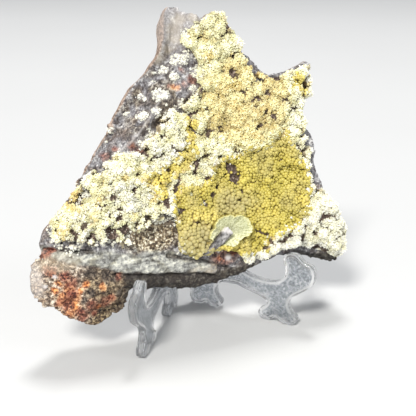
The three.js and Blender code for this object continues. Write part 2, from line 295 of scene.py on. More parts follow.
slanting_layers = layer_noise(620.0, Rotation=(0, math.radians(38), 0), Scale=(1, 1, 0.25))
flat_layers = layer_noise(520.0, Scale=(0.22, 1, 1))
grains = weigh(tree, fine, 0.75, cell, 0.25)
layered = weigh(tree, grains, 0.45, slanting_layers, 0.55)
streaky = weigh(tree, grains, 0.4, flat_layers, 0.6)
grains_and_glints = ramp(tree, small_cell, (0.02, (0.3, 0.28, 0.26)), (0.25, (0.8, 0.8, 0.8)),
               (0.78, (1, 1, 1)), (0.95, (1.5, 1.5, 1.45)))

# %% [markdown]
# Each tone is a ramp from its dark grains to its light ones. A wash of broad noise over it keeps
# a large face from looking even, and the grain tone with its painted glints is multiplied in
# where the real face sparkles.

# %% The tones of the rock's faces
grey = ramp(tree, layered, (0.36, (0.05, 0.04, 0.04)), (0.44, (0.15, 0.137, 0.14)),
            (0.52, (0.28, 0.27, 0.275)), (0.63, (0.64, 0.63, 0.61)))
grey_wash = ramp(tree, broad, (0.38, (0.5, 0.43, 0.4)), (0.5, (0.82, 0.83, 0.87)),
                 (0.64, (0.98, 0.98, 0.98)))
grey = tint(tree, grey, grey_wash)
grey = mix(tree, 0.9, grey, tint(tree, grey, grains_and_glints))
sandy = ramp(tree, grains, (0.33, (0.05, 0.032, 0.025)), (0.43, (0.19, 0.135, 0.1)),
             (0.53, (0.41, 0.33, 0.25)), (0.66, (0.74, 0.67, 0.57)))
sandy_wash = ramp(tree, broad, (0.4, (0.86, 0.74, 0.62)), (0.56, (1.1, 1.1, 1.1)))
sandy = tint(tree, tint(tree, sandy, sandy_wash), grains_and_glints)
crumbs = ramp(tree, grains, (0.33, (0.03, 0.019, 0.013)), (0.45, (0.12, 0.08, 0.045)),
              (0.56, (0.38, 0.31, 0.2)), (0.64, (0.8, 0.75, 0.6)))
crumbs = tint(tree, crumbs, grains_and_glints)
ledge_grey = ramp(tree, streaky, (0.37, (0.06, 0.055, 0.05)), (0.45, (0.24, 0.24, 0.225)),
                  (0.53, (0.43, 0.43, 0.39)), (0.62, (0.76, 0.75, 0.64)))
ledge_wash = ramp(tree, broad, (0.38, (0.5, 0.48, 0.43)), (0.52, (1, 1, 1)))
ledge_grey = tint(tree, ledge_grey, ledge_wash)
dull = ramp(tree, grains, (0.32, (0.035, 0.025, 0.02)), (0.48, (0.12, 0.095, 0.075)),
            (0.68, (0.3, 0.26, 0.22)))
dull_wash = ramp(tree, broad, (0.36, (0.45, 0.38, 0.32)), (0.5, (0.85, 0.8, 0.76)),
                 (0.64, (1.25, 1.25, 1.25)))
dull = tint(tree, dull, dull_wash)
ochre_grains = ramp(tree, grains, (0.33, (0.018, 0.01, 0.006)), (0.44, (0.075, 0.043, 0.02)),
                    (0.54, (0.21, 0.14, 0.065)), (0.64, (0.44, 0.33, 0.17)))
ochre_grains = tint(tree, ochre_grains, grains_and_glints)

# %% [markdown]
# Over the faces come the marks: iron stains in orange and red, painted shade in the cracks,
# hollows and pocket and under the overhangs, the brown broken rim, pale or tan dust, and painted
# glints. Each is laid by its own mask over what is there, so the last one in the list lies on
# top.

# %% The rock's marks, and all of it put together
TAN_DUST = (0.52, 0.45, 0.33)
PALE_DUST_AND_HIGHLIGHT = (0.72, 0.68, 0.66)
DEEP_SHADE = (0.012, 0.009, 0.008)

rust, ledge, brown, hidden = masks(tree, "zones")
red, orange, edge, dark_and_shade = masks(tree, "marks")
pale, tan_wash, underside_shade, ochre = masks(tree, "washes")
shadowed = ramp(tree, grains, (0.32, (0.01, 0.007, 0.006)), (0.48, (0.04, 0.03, 0.024)),
                (0.68, (0.15, 0.12, 0.1)))
orange_grains = ramp(tree, grains, (0.36, (0.12, 0.03, 0.01)), (0.48, (0.62, 0.18, 0.04)),
                     (0.62, (1.0, 0.52, 0.19)))
red_grains = ramp(tree, grains, (0.36, (0.035, 0.009, 0.006)), (0.5, (0.19, 0.045, 0.026)),
                  (0.64, (0.48, 0.2, 0.12)))
rim_brown = ramp(tree, grains, (0.38, (0.13, 0.085, 0.06)), (0.6, (0.42, 0.31, 0.24)))
colour = mix(tree, hidden, grey, dull)
for mask, tone in (
    (brown, crumbs), (ledge, ledge_grey), (rust, sandy), (ochre, ochre_grains),
    (maths(tree, "MULTIPLY", dark_and_shade, 0.85), shadowed), (orange, orange_grains), (red, red_grains),
    (tan_wash, TAN_DUST), (edge, rim_brown), (pale, PALE_DUST_AND_HIGHLIGHT), (underside_shade, DEEP_SHADE),
):
    colour = mix(tree, mask, colour, tone)
tree.links.new(colour, shader.inputs["Base Color"])
bumpy(tree, shader, layered, strength=0.5, depth=0.4)
print("rock material:", len(tree.nodes), "nodes")

# %% [markdown]
# A bead of mimetite is waxy. Its colour runs from white through cream and tan to gold and
# olive from place to place, and each bead is paler at its tip and browner and darker at its
# root, partly its own colour and partly painted shade where the beads grow together. A material
# for each colour would need thousands of small choices, so one attribute holds four numbers
# for every bead instead: its hue, its lightness, which is mostly painted light and shade, how
# near its tip a point is, and dust.

# %% The beads' material
CRUST_DUST = (0.43, 0.38, 0.21)

bead_finish, tree, shader = new_material("mimetite beads")
hue, light, tip, dust = masks(tree, "growth")
fine = speckle(tree, 2300)["Fine"]
bead_colour = ramp(tree, hue, (0.0, (0.88, 0.88, 0.81)), (0.08, (0.87, 0.86, 0.7)),
                   (0.22, (0.88, 0.87, 0.53)), (0.46, (0.79, 0.645, 0.28)),
                   (0.72, (0.74, 0.62, 0.15)), (1.0, (0.58, 0.49, 0.09)))
root_colour_and_shade = ramp(tree, hue, (0.0, (0.6, 0.56, 0.48)), (0.1, (0.56, 0.49, 0.33)),
                   (0.5, (0.48, 0.32, 0.1)), (1.0, (0.35, 0.28, 0.05)))
bead_colour = mix(tree, tip, root_colour_and_shade, bead_colour)
lightness = maths(tree, "ADD", maths(tree, "MULTIPLY", light, 0.66), 0.5)
grey_level = node(tree, "ShaderNodeCombineColor", Red=lightness, Green=lightness, Blue=lightness)
bead_colour = tint(tree, bead_colour, grey_level.outputs[0])
dust_here = maths(tree, "MULTIPLY", dust, maths(tree, "MULTIPLY", fine, 1.3), clamp=True)
bead_colour = mix(tree, dust_here, bead_colour, CRUST_DUST)
tree.links.new(bead_colour, shader.inputs["Base Color"])
tree.links.new(weigh(tree, dust, 0.3, fine, 0.7), shader.inputs["Roughness"])
bumpy(tree, shader, fine, strength=0.35, depth=0.2)
print("bead material:", len(tree.nodes), "nodes")

# %% [markdown]
# Under the beads lies the bed they grow on: dark brown in the pits, and a darker tone of the
# beads' own colour between them, partly the crust's own colour and partly painted shade for
# the gaps. It only shows in the gaps, but without it the gaps would be holes. It reads the same
# hue as the beads do, so that the two always fit.

# %% The bed's material
bed_finish, tree, shader = new_material("crust bed", Roughness=0.8)
bed_hue, bed_pit, *_ = masks(tree, "bed")
fine = speckle(tree, 1300)["Fine"]
bed_colour = ramp(tree, bed_hue, (0.0, (0.6, 0.53, 0.38)), (0.46, (0.5, 0.38, 0.17)),
                  (1.0, (0.29, 0.23, 0.05)))
pit_colour_and_shade = ramp(tree, fine, (0.35, (0.02, 0.012, 0.01)), (0.55, (0.1, 0.062, 0.045)),
                  (0.72, (0.42, 0.35, 0.3)))
bed_colour = mix(tree, bed_pit, bed_colour, pit_colour_and_shade)
tree.links.new(bed_colour, shader.inputs["Base Color"])
bumpy(tree, shader, fine, strength=0.6, depth=0.3)
print("bed material:", len(tree.nodes), "nodes")

# %% [markdown]
# The easel is moulded from clear polystyrene. Real clear plastic needs little but its own
# refraction, with an index of 1.5. A transmission of 0.9 keeps a tenth of the surface white, so
# that its rims still show against a pale floor. The sunk web between the rims is sandy from the
# mould: a mask makes it a little rougher, bumpier and greyer there, and leaves the rims bright.

# %% The clear plastic
plastic_finish, tree, shader = new_material("clear plastic", IOR=1.5, Transmission_Weight=0.9)
frost, *_ = masks(tree, "frost")
fine = speckle(tree, 1100)["Fine"]
sandy_web = ramp(tree, fine, (0.4, (0.3, 0.33, 0.36)), (0.52, (0.62, 0.66, 0.7)), (0.62, (1, 1, 1)))
tree.links.new(mix(tree, frost, (1, 1, 1), sandy_web), shader.inputs["Base Color"])
plastic_roughness = maths(tree, "ADD", maths(tree, "MULTIPLY", frost, 0.2), 0.02)
tree.links.new(plastic_roughness, shader.inputs["Roughness"])
ripples = maths(tree, "MULTIPLY", fine, maths(tree, "ADD", maths(tree, "MULTIPLY", frost, 0.95), 0.03))
bumpy(tree, shader, ripples, strength=0.7, depth=0.6)
print("plastic material:", len(tree.nodes), "nodes")

# %% [markdown]
# The floor is a plain pale sheet, only there to take the shadow. It could be a square plane, but
# then a corner could show when the view turns, where a round sheet shows the same edge from all
# sides.

# %% The floor
FLOOR_RADIUS = 3.0  # metres
JUST_BELOW = -0.1 * MM

floor_finish, tree, shader = new_material("pale floor", Roughness=0.55)
clouds = speckle(tree, 6)["Broad"]
floor_colour = ramp(tree, clouds, (0.3, (0.56, 0.56, 0.555)), (0.7, (0.59, 0.59, 0.585)))
tree.links.new(floor_colour, shader.inputs["Base Color"])

bm = bmesh.new()
bmesh.ops.create_circle(bm, cap_ends=True, segments=64, radius=FLOOR_RADIUS)
floor = into_scene("floor", mesh_of(bm, "floor"))
floor.location.z = JUST_BELOW
floor.data.materials.append(floor_finish)
print("floor:", FLOOR_RADIUS, "m in radius")

# %% [markdown]
# The stone leans back in the easel, so places on it are easiest to give on its own face: x to
# the right, y up the face and z out of it, in millimetres. The zero lies 30 mm in front of the
# easel's hinge and 20.3 mm up. `on_face` turns points of the model into face places, and
# `off_face` turns them back.

# %% Places on the stone's face
HINGE_X, HINGE_Y = 3.4, 16.35
FACE_FORWARD, FACE_HEIGHT = 30, 20.3
FACE_START = np.array([HINGE_X, HINGE_Y - FACE_FORWARD, FACE_HEIGHT])
LEAN = math.radians(15)
FACE_AXES = np.array([
    [1, 0, 0],
    [0, math.sin(LEAN), math.cos(LEAN)],
    [0, -math.cos(LEAN), math.sin(LEAN)],
])


def on_face(points):
    return (points / MM - FACE_START) @ FACE_AXES.T


def off_face(places):
    return (places @ FACE_AXES + FACE_START) * MM


print("the face starts at", FACE_START.round(2), "mm")

# %% [markdown]
# Zones on a stone have soft edges, so they are shares from 0 to 1. `step` rises softly from one
# value to another, `blob` is a soft oval, `spots` a list of round ones, and `area_share` is 1
# inside a drawn outline. Weights painted by hand would do it too, but not so exactly.

# %% Soft shapes on the face


def step(low, high, value):
    share = np.clip((value - low) / (high - low), 0, 1)
    return share * share * (3 - 2 * share)


def blob(x, y, centre_x, centre_y, radius_x, radius_y, soft=0.3):
    reach = np.hypot((x - centre_x) / radius_x, (y - centre_y) / radius_y)
    return 1 - step(1 - soft, 1 + soft, reach)


def spots(x, y, places, soft=0.5):
    share = np.zeros(len(x))
    for spot_x, spot_y, size in places:
        share = np.maximum(share, blob(x, y, spot_x, spot_y, size, size, soft))
    return share


def line_distance(x, y, line):
    best = np.full(len(x), 1e9)
    for (ax, ay), (bx, by) in zip(line, line[1:]):
        length_squared = (bx - ax) ** 2 + (by - ay) ** 2
        along = np.clip(((x - ax) * (bx - ax) + (y - ay) * (by - ay)) / length_squared, 0, 1)
        best = np.minimum(best, np.hypot(x - ax - along * (bx - ax), y - ay - along * (by - ay)))
    return best


def area_share(x, y, outline, soft):
    inside = np.zeros(len(x), bool)
    closed = [*outline, outline[0]]
    for (ax, ay), (bx, by) in zip(closed, closed[1:]):
        if ay != by:
            inside ^= ((ay > y) != (by > y)) & (x < (bx - ax) * (y - ay) / (by - ay) + ax)
    return step(-soft, soft, np.where(inside, 1, -1) * line_distance(x, y, closed))


# %% [markdown]
# Nothing on a broken stone repeats, so its roughness comes from noise. `drift` is soft noise
# between minus one and one. `nearest_seed` puts one seed in each cell of a grid and finds the
# nearest: `pebbles` makes a round bump of each seed, and `facets` tilts the surface round it, as
# on broken rock. All points are worked out at once with NumPy. Each grid cell gets its chance
# from its own number, mixed by large odd factors, so every run gives the same stone.

# %% Noise for the surfaces


def scatter(cells, seed):
    cells = cells.astype(np.int64)
    mixed = cells[..., 0] * 73856093 ^ cells[..., 1] * 19349663 ^ cells[..., 2] * 83492791
    mixed = mixed ^ (seed * 9973 + 7)
    mixed = (mixed ^ (mixed >> 13)) * 1274126177 & 0x7FFFFFFF
    mixed = (mixed ^ (mixed >> 11)) * 668265263 & 0x7FFFFFFF
    return (mixed ^ (mixed >> 15)) % 100003 / 100003


def scatter_vectors(cells, seed):
    return np.stack([scatter(cells, seed + axis) for axis in range(3)], axis=1)


def drift(points, size, seed):
    scaled = points / size
    low = np.floor(scaled)
    part = scaled - low
    part = part * part * (3 - 2 * part)
    total = np.zeros(len(points))
    for corner in np.ndindex(2, 2, 2):
        weight = np.prod(np.where(corner, part, 1 - part), axis=1)
        total += weight * scatter(low + corner, seed)
    return 2 * total - 1


def nearest_seed(points, size, seed):
    scaled = points / size
    low = np.floor(scaled)
    gap = np.full(len(points), 9.0)
    away = np.zeros((len(points), 3))
    home = np.zeros((len(points), 3))
    for offset in np.ndindex(3, 3, 3):
        cell = low + np.array(offset) - 1
        from_centre = scaled - cell - scatter_vectors(cell, seed)
        distance = np.linalg.norm(from_centre, axis=1)
        closer = distance < gap
        gap = np.where(closer, distance, gap)
        away[closer] = from_centre[closer]
        home[closer] = cell[closer]
    return gap, away, home


def pebbles(points, size, seed, reach=0.66):
    gap, _, _ = nearest_seed(points, size, seed)
    return np.clip(1 - (gap / reach) ** 2, 0, 1)


def facets(points, size, seed):
    _, away, home = nearest_seed(points, size, seed)
    return np.sum(away * (2 * scatter_vectors(home, seed + 5) - 1), axis=1)


# %% [markdown]
# A CAD node is a coarse solid. To get a surface fine enough for grains, a copy of it is merged
# and remeshed on a small voxel grid, then smoothed so that the coarse facets fade. Subdividing
# would keep the long thin triangles of the solid, while voxels give even ones everywhere.

# %% A fine skin over a CAD node
STONE_VOXEL, EASEL_VOXEL = 0.55, 0.3  # millimetres


def merged_copy(node_name, name):
    copy = into_scene(name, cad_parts[node_name].data.copy())
    bm = bmesh.new()
    bm.from_mesh(copy.data)
    bmesh.ops.remove_doubles(bm, verts=bm.verts, dist=1e-6)
    bm.to_mesh(copy.data)
    bm.free()
    return copy


def bake_modifiers(piece):
    ready = piece.evaluated_get(bpy.context.evaluated_depsgraph_get())
    mesh = bpy.data.meshes.new_from_object(ready)
    piece.modifiers.clear()
    piece.data = mesh
    mesh.name = piece.name
    return piece


def fine_skin(piece, voxel, smoothing):
    remesh = piece.modifiers.new("voxels", "REMESH")
    remesh.mode = "VOXEL"
    remesh.voxel_size = voxel * MM
    smooth = piece.modifiers.new("smooth", "SMOOTH")
    smooth.factor = 0.5
    smooth.iterations = smoothing
    return bake_modifiers(piece)


# %% [markdown]
# A piece is finished in four moves. `measure` reads its points and where they lie on the face,
# `write` puts moved points back, kept inside the CAD model's box, `paint` stores four shares as
# a colour on every point, and `finish_piece` gives the material and the body.

# %% Reading, writing and finishing a piece
BOX_MARGIN = 0.00002  # metres, so that rounding moves no point out of the box


def read(mesh, what):
    values = np.empty(len(mesh.vertices) * 3)
    mesh.vertices.foreach_get(what, values)
    return values.reshape(-1, 3)


def measure(mesh):
    points, normals = read(mesh, "co"), read(mesh, "normal")
    return points, normals, on_face(points), (normals @ FACE_AXES.T)[:, 2]


def inside_box(points):
    lowest, highest = (np.array(corner) for corner in cad_box)
    return np.clip(points, lowest + BOX_MARGIN, highest - BOX_MARGIN)


def write(mesh, points):
    mesh.vertices.foreach_set("co", inside_box(points).ravel())
    mesh.update()


def paint(mesh, name, *channels):
    attribute = mesh.color_attributes.new(name, "FLOAT_COLOR", "POINT")
    channels = [np.clip(np.broadcast_to(channel, len(mesh.vertices)), 0, 1) for channel in channels]
    attribute.data.foreach_set("color", np.stack(channels, axis=1).astype(np.float32).ravel())


def finish_piece(piece, material, body="right_side", smooth=True):
    piece.data.materials.clear()
    piece.data.materials.append(material)
    piece.data.polygons.foreach_set("use_smooth", [smooth] * len(piece.data.polygons))
    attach(piece, body)
    triangles = sum(len(face.vertices) - 2 for face in piece.data.polygons)
    print(f"{piece.name}: {triangles} triangles")


# %% [markdown]
# The rock first. These lists say where its features lie, in millimetres on its face: the two
# edges of the ledge, the cracks, and spots with their radius for iron stains, hollows that get
# painted shade, tan washes, painted glints and the white colonies of mimetite that grow on the
# bare stone.

# %% Where the rock's features lie
LEDGE_TOP = [
    (-60, 22), (-56.3, 21.3), (-47.7, 19), (-37.3, 17.3), (-27.5, 14.8), (-17, 14.1), (-8.8, 10.8),
    (0, 8.3),
]
LEDGE_BOTTOM = [
    (-60, 19.6), (-56.5, 19), (-52, 16), (-48.3, 14.3), (-38, 11.9), (-33, 8.6), (-24.8, 7.7), (-18, 6.4),
    (-9.5, 4.7), (0, 3.9),
]
CRACKS = [
    [(-34.5, 9), (-27.4, 7.2), (-17.7, 5.9), (-6.2, 4), (0.3, 2.4)],
    [(-15.5, 12.4), (-11.2, 11.2), (-8.6, 9.6), (-4.1, 8.4), (-0.5, 7.3), (2.6, 5.5), (5.8, 4.5)],
    [(-56, 20.4), (-47.5, 18.8), (-41, 17.8)],
]
ORANGE_SPOTS = [
    (-49.7, 7.4, 1.8), (-48.9, 3.4, 2.6), (-52.2, 3.3, 2), (-48.8, -0.6, 1.8), (-50.5, 6.3, 1.8),
    (-49, 1.4, 2), (-52.6, 9, 1.1), (-46.2, 5.4, 1.1), (-54.4, 6.2, 1), (-6.6, 67.6, 1.4),
    (3.1, 8.1, 0.9), (-54.2, 13.2, 0.8), (-41, -0.4, 1), (-36.8, 1.6, 0.8), (-44.4, 7, 1.2),
    (-39, 5.8, 1), (2.6, 8.2, 0.6),
]
RED_SPOTS = [
    (-54.2, 13.4, 1.6), (-50.5, 11.2, 1.8), (-48.9, 8.8, 2.2), (-49.6, 4.6, 2.6), (-50.5, 1.4, 2),
    (-52.9, 2.8, 1.4), (-55.2, 18.7, 1.5), (-53.6, 19.9, 1), (-46.3, -2.4, 2), (-42.7, 0, 2.2),
    (-38.6, 0.8, 1.8), (-36.4, 1.7, 1.2), (-42.3, -2.5, 1.4), (-33, 8.4, 1), (-0.9, 69, 1.7),
    (-3.9, 73, 0.9), (-24, 49.7, 1.5), (-21.8, 47.4, 1.7), (-32.3, 47.4, 1.3), (-3.4, 68.3, 0.9),
    (-8.6, 68.4, 0.8), (-28.6, 49.4, 0.9), (2.7, 8.1, 1.1), (4.6, 7.2, 1), (7.8, 9.2, 0.9),
    (4.4, 9.6, 0.6),
]
SHADED_HOLLOWS = [
    (-42.6, 11.2, 2.6), (-37.5, 9.2, 2.4), (-34.2, 8.4, 1.6), (-42.9, 4.4, 1.2), (-45.1, 2, 1.1),
    (-39.7, -3, 1.2), (-33.5, 3.2, 1.4), (-0.3, 79.1, 1.5), (-0.3, 69.4, 1.4), (-14.7, 63.6, 1.8),
    (-17.5, 63.5, 1.5), (-14.9, 56, 1.8), (-25.8, 55.1, 1.2), (-23.9, 51, 1.4), (-13.4, 62, 1.4),
    (-10, 62.4, 1.1), (-3, 75, 1), (-8.6, 71.6, 1.1), (-20, 54, 1.2), (-17.8, 50.4, 1),
]
TAN_WASHES = [
    (-2.3, 90.2, 1.8), (2.1, 90, 1.6), (-4, 87.6, 2), (-4.4, 84.3, 2), (-6.3, 80.5, 1.8), (-9.8, 77.7, 2),
]
GLINTS = [(6.2, 8.1, 1), (2.5, 10.9, 0.6), (-53.8, 11.4, 0.6), (-56.7, 8.7, 0.6)]
COLONIES = [
    (-3.1, 76.7, 1.7), (-5, 75.9, 1), (-6.3, 70.9, 1.3), (-12.3, 65.4, 1.5), (-10.6, 64.8, 1),
    (-17.3, 65.5, 0.8), (-14.8, 60, 1.2), (-19.1, 59, 1.2), (-9.6, 58.2, 1.7), (0.7, 71.7, 1.4),
    (-8.5, 74, 0.9), (-16.7, 52.9, 1.5), (-20.5, 50, 1.3), (-18.4, 51.6, 0.8), (-28.4, 55.7, 0.4),
    (-6.4, 61.6, 1), (-1, 66, 1), (-24.8, 46.6, 1.1), (-28.6, 47.4, 0.9), (2.2, 79.8, 0.7),
    (-30.6, 52, 0.4), (-13, 70, 0.4), (-23, 60.4, 0.4), (-11.6, 73.6, 0.4),
]
PALE_VEIN = [(-27.8, 48.4), (-24.6, 50.7), (-20.9, 54), (-17.5, 57.8), (-14, 62.1), (-9.9, 66.4)]

print("stains:", len(ORANGE_SPOTS) + len(RED_SPOTS), "hollows:", len(SHADED_HOLLOWS), "colonies:", len(COLONIES))

# %% [markdown]
# The rock's faces are told apart by where they look and how far they are from an edge: the
# corner block, the ledge, the slanted left side with its broken rim, and the underside. Each is
# a share from 0 to 1, and `wander` bends the borders, so that none of them runs straight.

# %% The rock's skin and its faces
matrix = fine_skin(merged_copy("matrix", "matrix_rock"), STONE_VOXEL, 5)
points, normals, face, outward = measure(matrix.data)
x, y, _ = face.T
leftward = -normals[:, 0]
downward = -normals[:, 2]
wander = drift(face, 4.5, 3) * 1.2 + drift(face, 1.8, 4) * 0.7
wander_y = drift(face, 3.9, 5) * 1.0 + drift(face, 1.5, 6) * 0.7

under_top = np.interp(x, *zip(*LEDGE_TOP)) - y + 0.7 * wander
over_bottom = y - np.interp(x, *zip(*LEDGE_BOTTOM)) + 0.6 * wander_y
on_front = step(-0.35, 0.05, outward)
rust = step(0.7, -0.7, over_bottom) * step(-29, -33, x + wander)
ledge = step(-0.8, 0.8, under_top) * step(-0.7, 0.7, over_bottom) * step(2, -4, x) * on_front
foot = step(0.7, -1.2, over_bottom) * (1 - rust)
brown = blob(x + wander, y + wander_y, -20.5, 20, 9.5, 6.4) * on_front
grooves = [1 - step(0.1, 1.0, line_distance(x, y + 0.3 * wander, line)) for line in CRACKS]
groove = np.max(grooves, axis=0) * on_front
levels = np.arange(20, 92, 1.0)
left_limits = [x[np.abs(y - level) < 0.8].min() for level in levels]
from_left = x - np.interp(y, levels, left_limits)
turning_left = step(0.6, 0.25, outward) * step(0.2, 0.5, leftward)
left_edge = np.maximum(turning_left, step(1.3, 0.5, from_left)) * step(24, 28, y)
left_side = np.maximum(step(0.15, 0.6, leftward), step(3.5, 1.2, from_left)) * step(17, 20, y)
calm = (1 - 0.6 * ledge) * (1 - 0.85 * left_side) * (1 - 0.4 * step(24, 30, y))
print("ledge and corner block, as shares:", round(float(ledge.mean()), 3), round(float(rust.mean()), 3))

# %% [markdown]
# Now the surface itself. Broken facets of three sizes, waves, thin veins and grains are added up
# and moved along the normals: fine grains on the corner block, a calmer ledge. Grooves follow
# the cracks, and the stone swells a little under its white colonies and along the pale vein.
# A stack of Displace modifiers could do this, but one sum is shorter to read and to change.

# %% The rock's rough surface
grains = 0.17 * pebbles(face, 0.9, 11) * rust + 0.2 * pebbles(face, 1.4, 12) * (1 - rust) * calm
broken = (0.6 * facets(face, 6.5, 15) + 0.45 * facets(face, 2.9, 16) + 0.25 * facets(face, 1.4, 17)) * calm
rough = 0.35 * drift(face, 3.4, 21) * (1 - 0.6 * left_side) + 0.18 * drift(face, 1.4, 22) * calm
veins = 0.5 * (1 - step(0.0, 0.14, np.abs(drift(face, 9, 23)))) * calm
fuller = 0.9 * rust * step(0.1, 0.6, downward) + 0.6 * step(84, 92, y) * step(-4, 2, x)
fuller += (1.5 * blob(x, y, -59, 12, 4, 5, 0.6) * step(0.1, 0.7, leftward)
           + 1.2 * blob(x, y, -27.8, 56.3, 1.8, 1.4, 0.5))
colony = spots(x + 0.5 * drift(face, 1.5, 76), y + 0.5 * drift(face, 1.5, 77), COLONIES, 0.6) * on_front
pale_vein = (1 - step(0.1, 0.55, line_distance(x, y + 0.2 * wander, PALE_VEIN))) * on_front
swelling = 0.9 * colony * (0.6 + 0.5 * pebbles(face, 1.7, 80)) + 0.3 * pale_vein
height = grains + broken + rough - veins + fuller + swelling - 0.05 - 1.5 * groove
write(matrix.data, points + normals * height[:, None] * MM)
print("moved between", round(float(height.min()), 2), "and", round(float(height.max()), 2), "mm")

# %% [markdown]
# The same places are then painted: twelve masks in three colour attributes, which the rock's
# material reads. Many are the largest of several shares, so that marks that overlap run
# together and don't add up. Red and orange are fainter on the upper rock.

# %% The rock's painted masks
hollow_shade = spots(x + 0.7 * wander, y + 0.7 * wander_y, SHADED_HOLLOWS)
pocket = blob(x + 0.5 * wander, y, 4.8, 8.8, 5.2, 3.6) * on_front
red = spots(x + 0.6 * wander, y + 0.6 * wander_y, RED_SPOTS)
red = red * (0.85 + 0.3 * drift(face, 1.6, 25)) * (1 - 0.4 * step(38, 44, y))
orange = spots(x + 0.8 * wander, y + 0.8 * wander_y, ORANGE_SPOTS)
orange = orange * (0.8 + 0.4 * drift(face, 1.5, 26)) * np.where(y > 40, 0.6, 1)
between_tufts = blob(x + wander, y + wander_y, -12, 62, 12, 11, 0.6)
between_tufts = between_tufts * step(-0.25, 0.25, drift(face, 2.6, 27)) * on_front
block_right = rust * step(-47, -42, x + wander) * (0.75 + 0.25 * drift(face, 3, 24))
brown = np.maximum.reduce([brown, 0.7 * between_tufts, 0.6 * foot])
in_pocket = pocket * (0.75 + 0.3 * drift(face, 1.2, 19))
# Painted shade darkens the cracks, hollows and pocket; the rock between the tufts is darker too.
dark_and_shade = np.maximum.reduce([hollow_shade, groove, in_pocket, 0.25 * block_right, 0.65 * between_tufts])
red = np.maximum(red, 0.35 * pocket)
# Painted shade: faces that turn downward and the foot below the ledge are darkened, except on the tan lens.
overhang = np.maximum(step(0.3, 0.8, downward) * (1 - rust), foot)
paint(matrix.data, "zones", rust, ledge, brown, 1 - on_front * (1 - 0.6 * foot))
paint(matrix.data, "marks", red * on_front, orange * on_front, left_edge, dark_and_shade)
pink = blob(x + wander, y + wander_y, -58.6, 11, 2.4, 5.5, 0.5) * rust
tan_spots = spots(x + wander, y + wander_y, TAN_WASHES, 0.7)
tan_wash = np.maximum(tan_spots, 0.8 * blob(x, y, -52, 15.6, 7, 3)) * on_front
summit = blob(x, y, -1.5, 89, 9, 9, 0.5) * on_front
lens = blob(x, y, -2.8, 5.4, 5.6, 1.5) * on_front
# Painted highlights: the glints are white spots in the pale wash.
glint = spots(x, y, GLINTS, 0.4)
whitened = np.maximum.reduce([
    0.35 * pink, 0.9 * glint * on_front, 0.25 * summit, 0.45 * colony, 0.3 * pale_vein,
])
tanned = np.maximum(0.4 * tan_wash, 0.5 * lens * step(-0.4, 0.4, drift(face, 1.1, 30)))
shaded = 0.85 * overhang * (1 - lens)
paint(matrix.data, "washes", whitened, tanned, shaded, block_right)
finish_piece(matrix, rock_finish)
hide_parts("matrix")

# %% [markdown]
# The crust comes next. Its olive hollow has a drawn outline, the pits where the rock looks
# through are spots again, and the growth that is broken open has one oval place.

# %% Where the crust changes
OLIVE_OUTLINE = [
    (12.2, 42.2), (17, 43.7), (23.2, 43.8), (27.4, 46.1), (30.1, 49.3), (33.7, 45.4), (35.7, 41.7),
    (36.8, 36.6), (39.3, 31.3), (39.5, 25.6), (37.5, 20.8), (34, 18.5), (30.4, 15.4), (24.6, 14.1),
    (19.8, 13.4), (18.6, 9.4), (8.5, 9.5), (-1.7, 11.6), (-5.6, 10.2), (-11.7, 13.8), (-12.7, 21),
    (-11.4, 25.6), (-12.6, 28.5), (-12.4, 32.3), (-9.3, 34.4), (-4.4, 33.5), (2.9, 36.1), (4.2, 40.4),
]
PITS = [
    (13.9, 70.2, 2.2), (2.4, 52.6, 1.7), (2, 50.4, 1.5), (3, 59, 1.3), (1.1, 36.2, 1.3),
    (-0.9, 36.8, 0.9), (6.3, 42.9, 1.1), (9.4, 39.8, 1.5), (12.2, 34.8, 1.8), (4.4, 33.6, 1.1),
    (17, 63.5, 1.5), (7.6, 63.6, 1.2), (-33.2, 33.8, 2.2), (-31.6, 30.3, 1.4), (-31.9, 27.6, 1.2),
    (-34.5, 28.8, 1.1), (-34.9, 25, 1.1), (-34.4, 22.4, 2.3), (-34.6, 19.7, 1.6), (-43.3, 26.4, 1.8),
    (-47.3, 25.3, 1.4), (-44.8, 20.6, 2), (-15.8, 30.5, 1.9), (-18, 30.2, 1.2), (-9.8, 27.3, 1.4),
    (-22.8, 26.4, 1.4), (-20.5, 46.2, 1.4), (10.3, 38.3, 2.3), (11.4, 36.2, 2.1), (14.3, 30.3, 1.2),
    (-5.2, 32.8, 0.7), (8.6, 36.5, 0.8), (18.2, 40.8, 0.8), (-10.6, 26.7, 1.6), (39.4, 43.4, 1.9),
    (41, 44.7, 1.7), (21.2, 11.8, 1.4), (41, 14.6, 0.8), (46.5, 19.6, 0.7), (44.5, 8.3, 0.8),
    (39, 12, 0.8), (32.7, 14.4, 0.7), (24.2, 55.8, 1.7), (21.5, 69.7, 1.7), (27, 54.6, 1.7),
    (20.6, 51.6, 1.3), (-40, 18.8, 1.6), (-26.6, 24.4, 1.2), (-0.3, 28.2, 1.2), (-5.1, 22.5, 1.2),
    (-2.6, 19.6, 0.8), (17.7, 15.7, 1.4), (19.6, 15, 1.3), (19, 9.8, 1.3), (24.1, 11.2, 0.8),
    (26, 33.5, 0.8), (20.2, 24.4, 0.8), (33.4, 28, 0.8), (13, 27.8, 0.8), (2.6, 30.8, 1.1),
    (29.6, 39.6, 0.8),
]
FAN_AT = (6.2, 17.8, 7.7, 5.2)
print("pits in the crust:", len(PITS))

# %% [markdown]
# How olive a place is, how tan, and how deep it lies in the thin fringe is asked for the skin,
# the bed and each bead, so these are functions. The last one finds each place's nearest
# neighbour in a list. A KD tree does that in a moment, where trying all pairs takes minutes.

# %% The crust's zones, and near places
FLAT = (1, 1, 0)


def olive_share(face):
    x, y, _ = face.T
    bend = drift(face, 3, 31) + 0.6 * drift(face, 1.4, 32)
    inside = area_share(x + bend, y + bend, OLIVE_OUTLINE, 2.2)
    return step(0.28, 0.62, inside + 0.3 * drift(face, 1.7, 35) * (inside < 0.99))


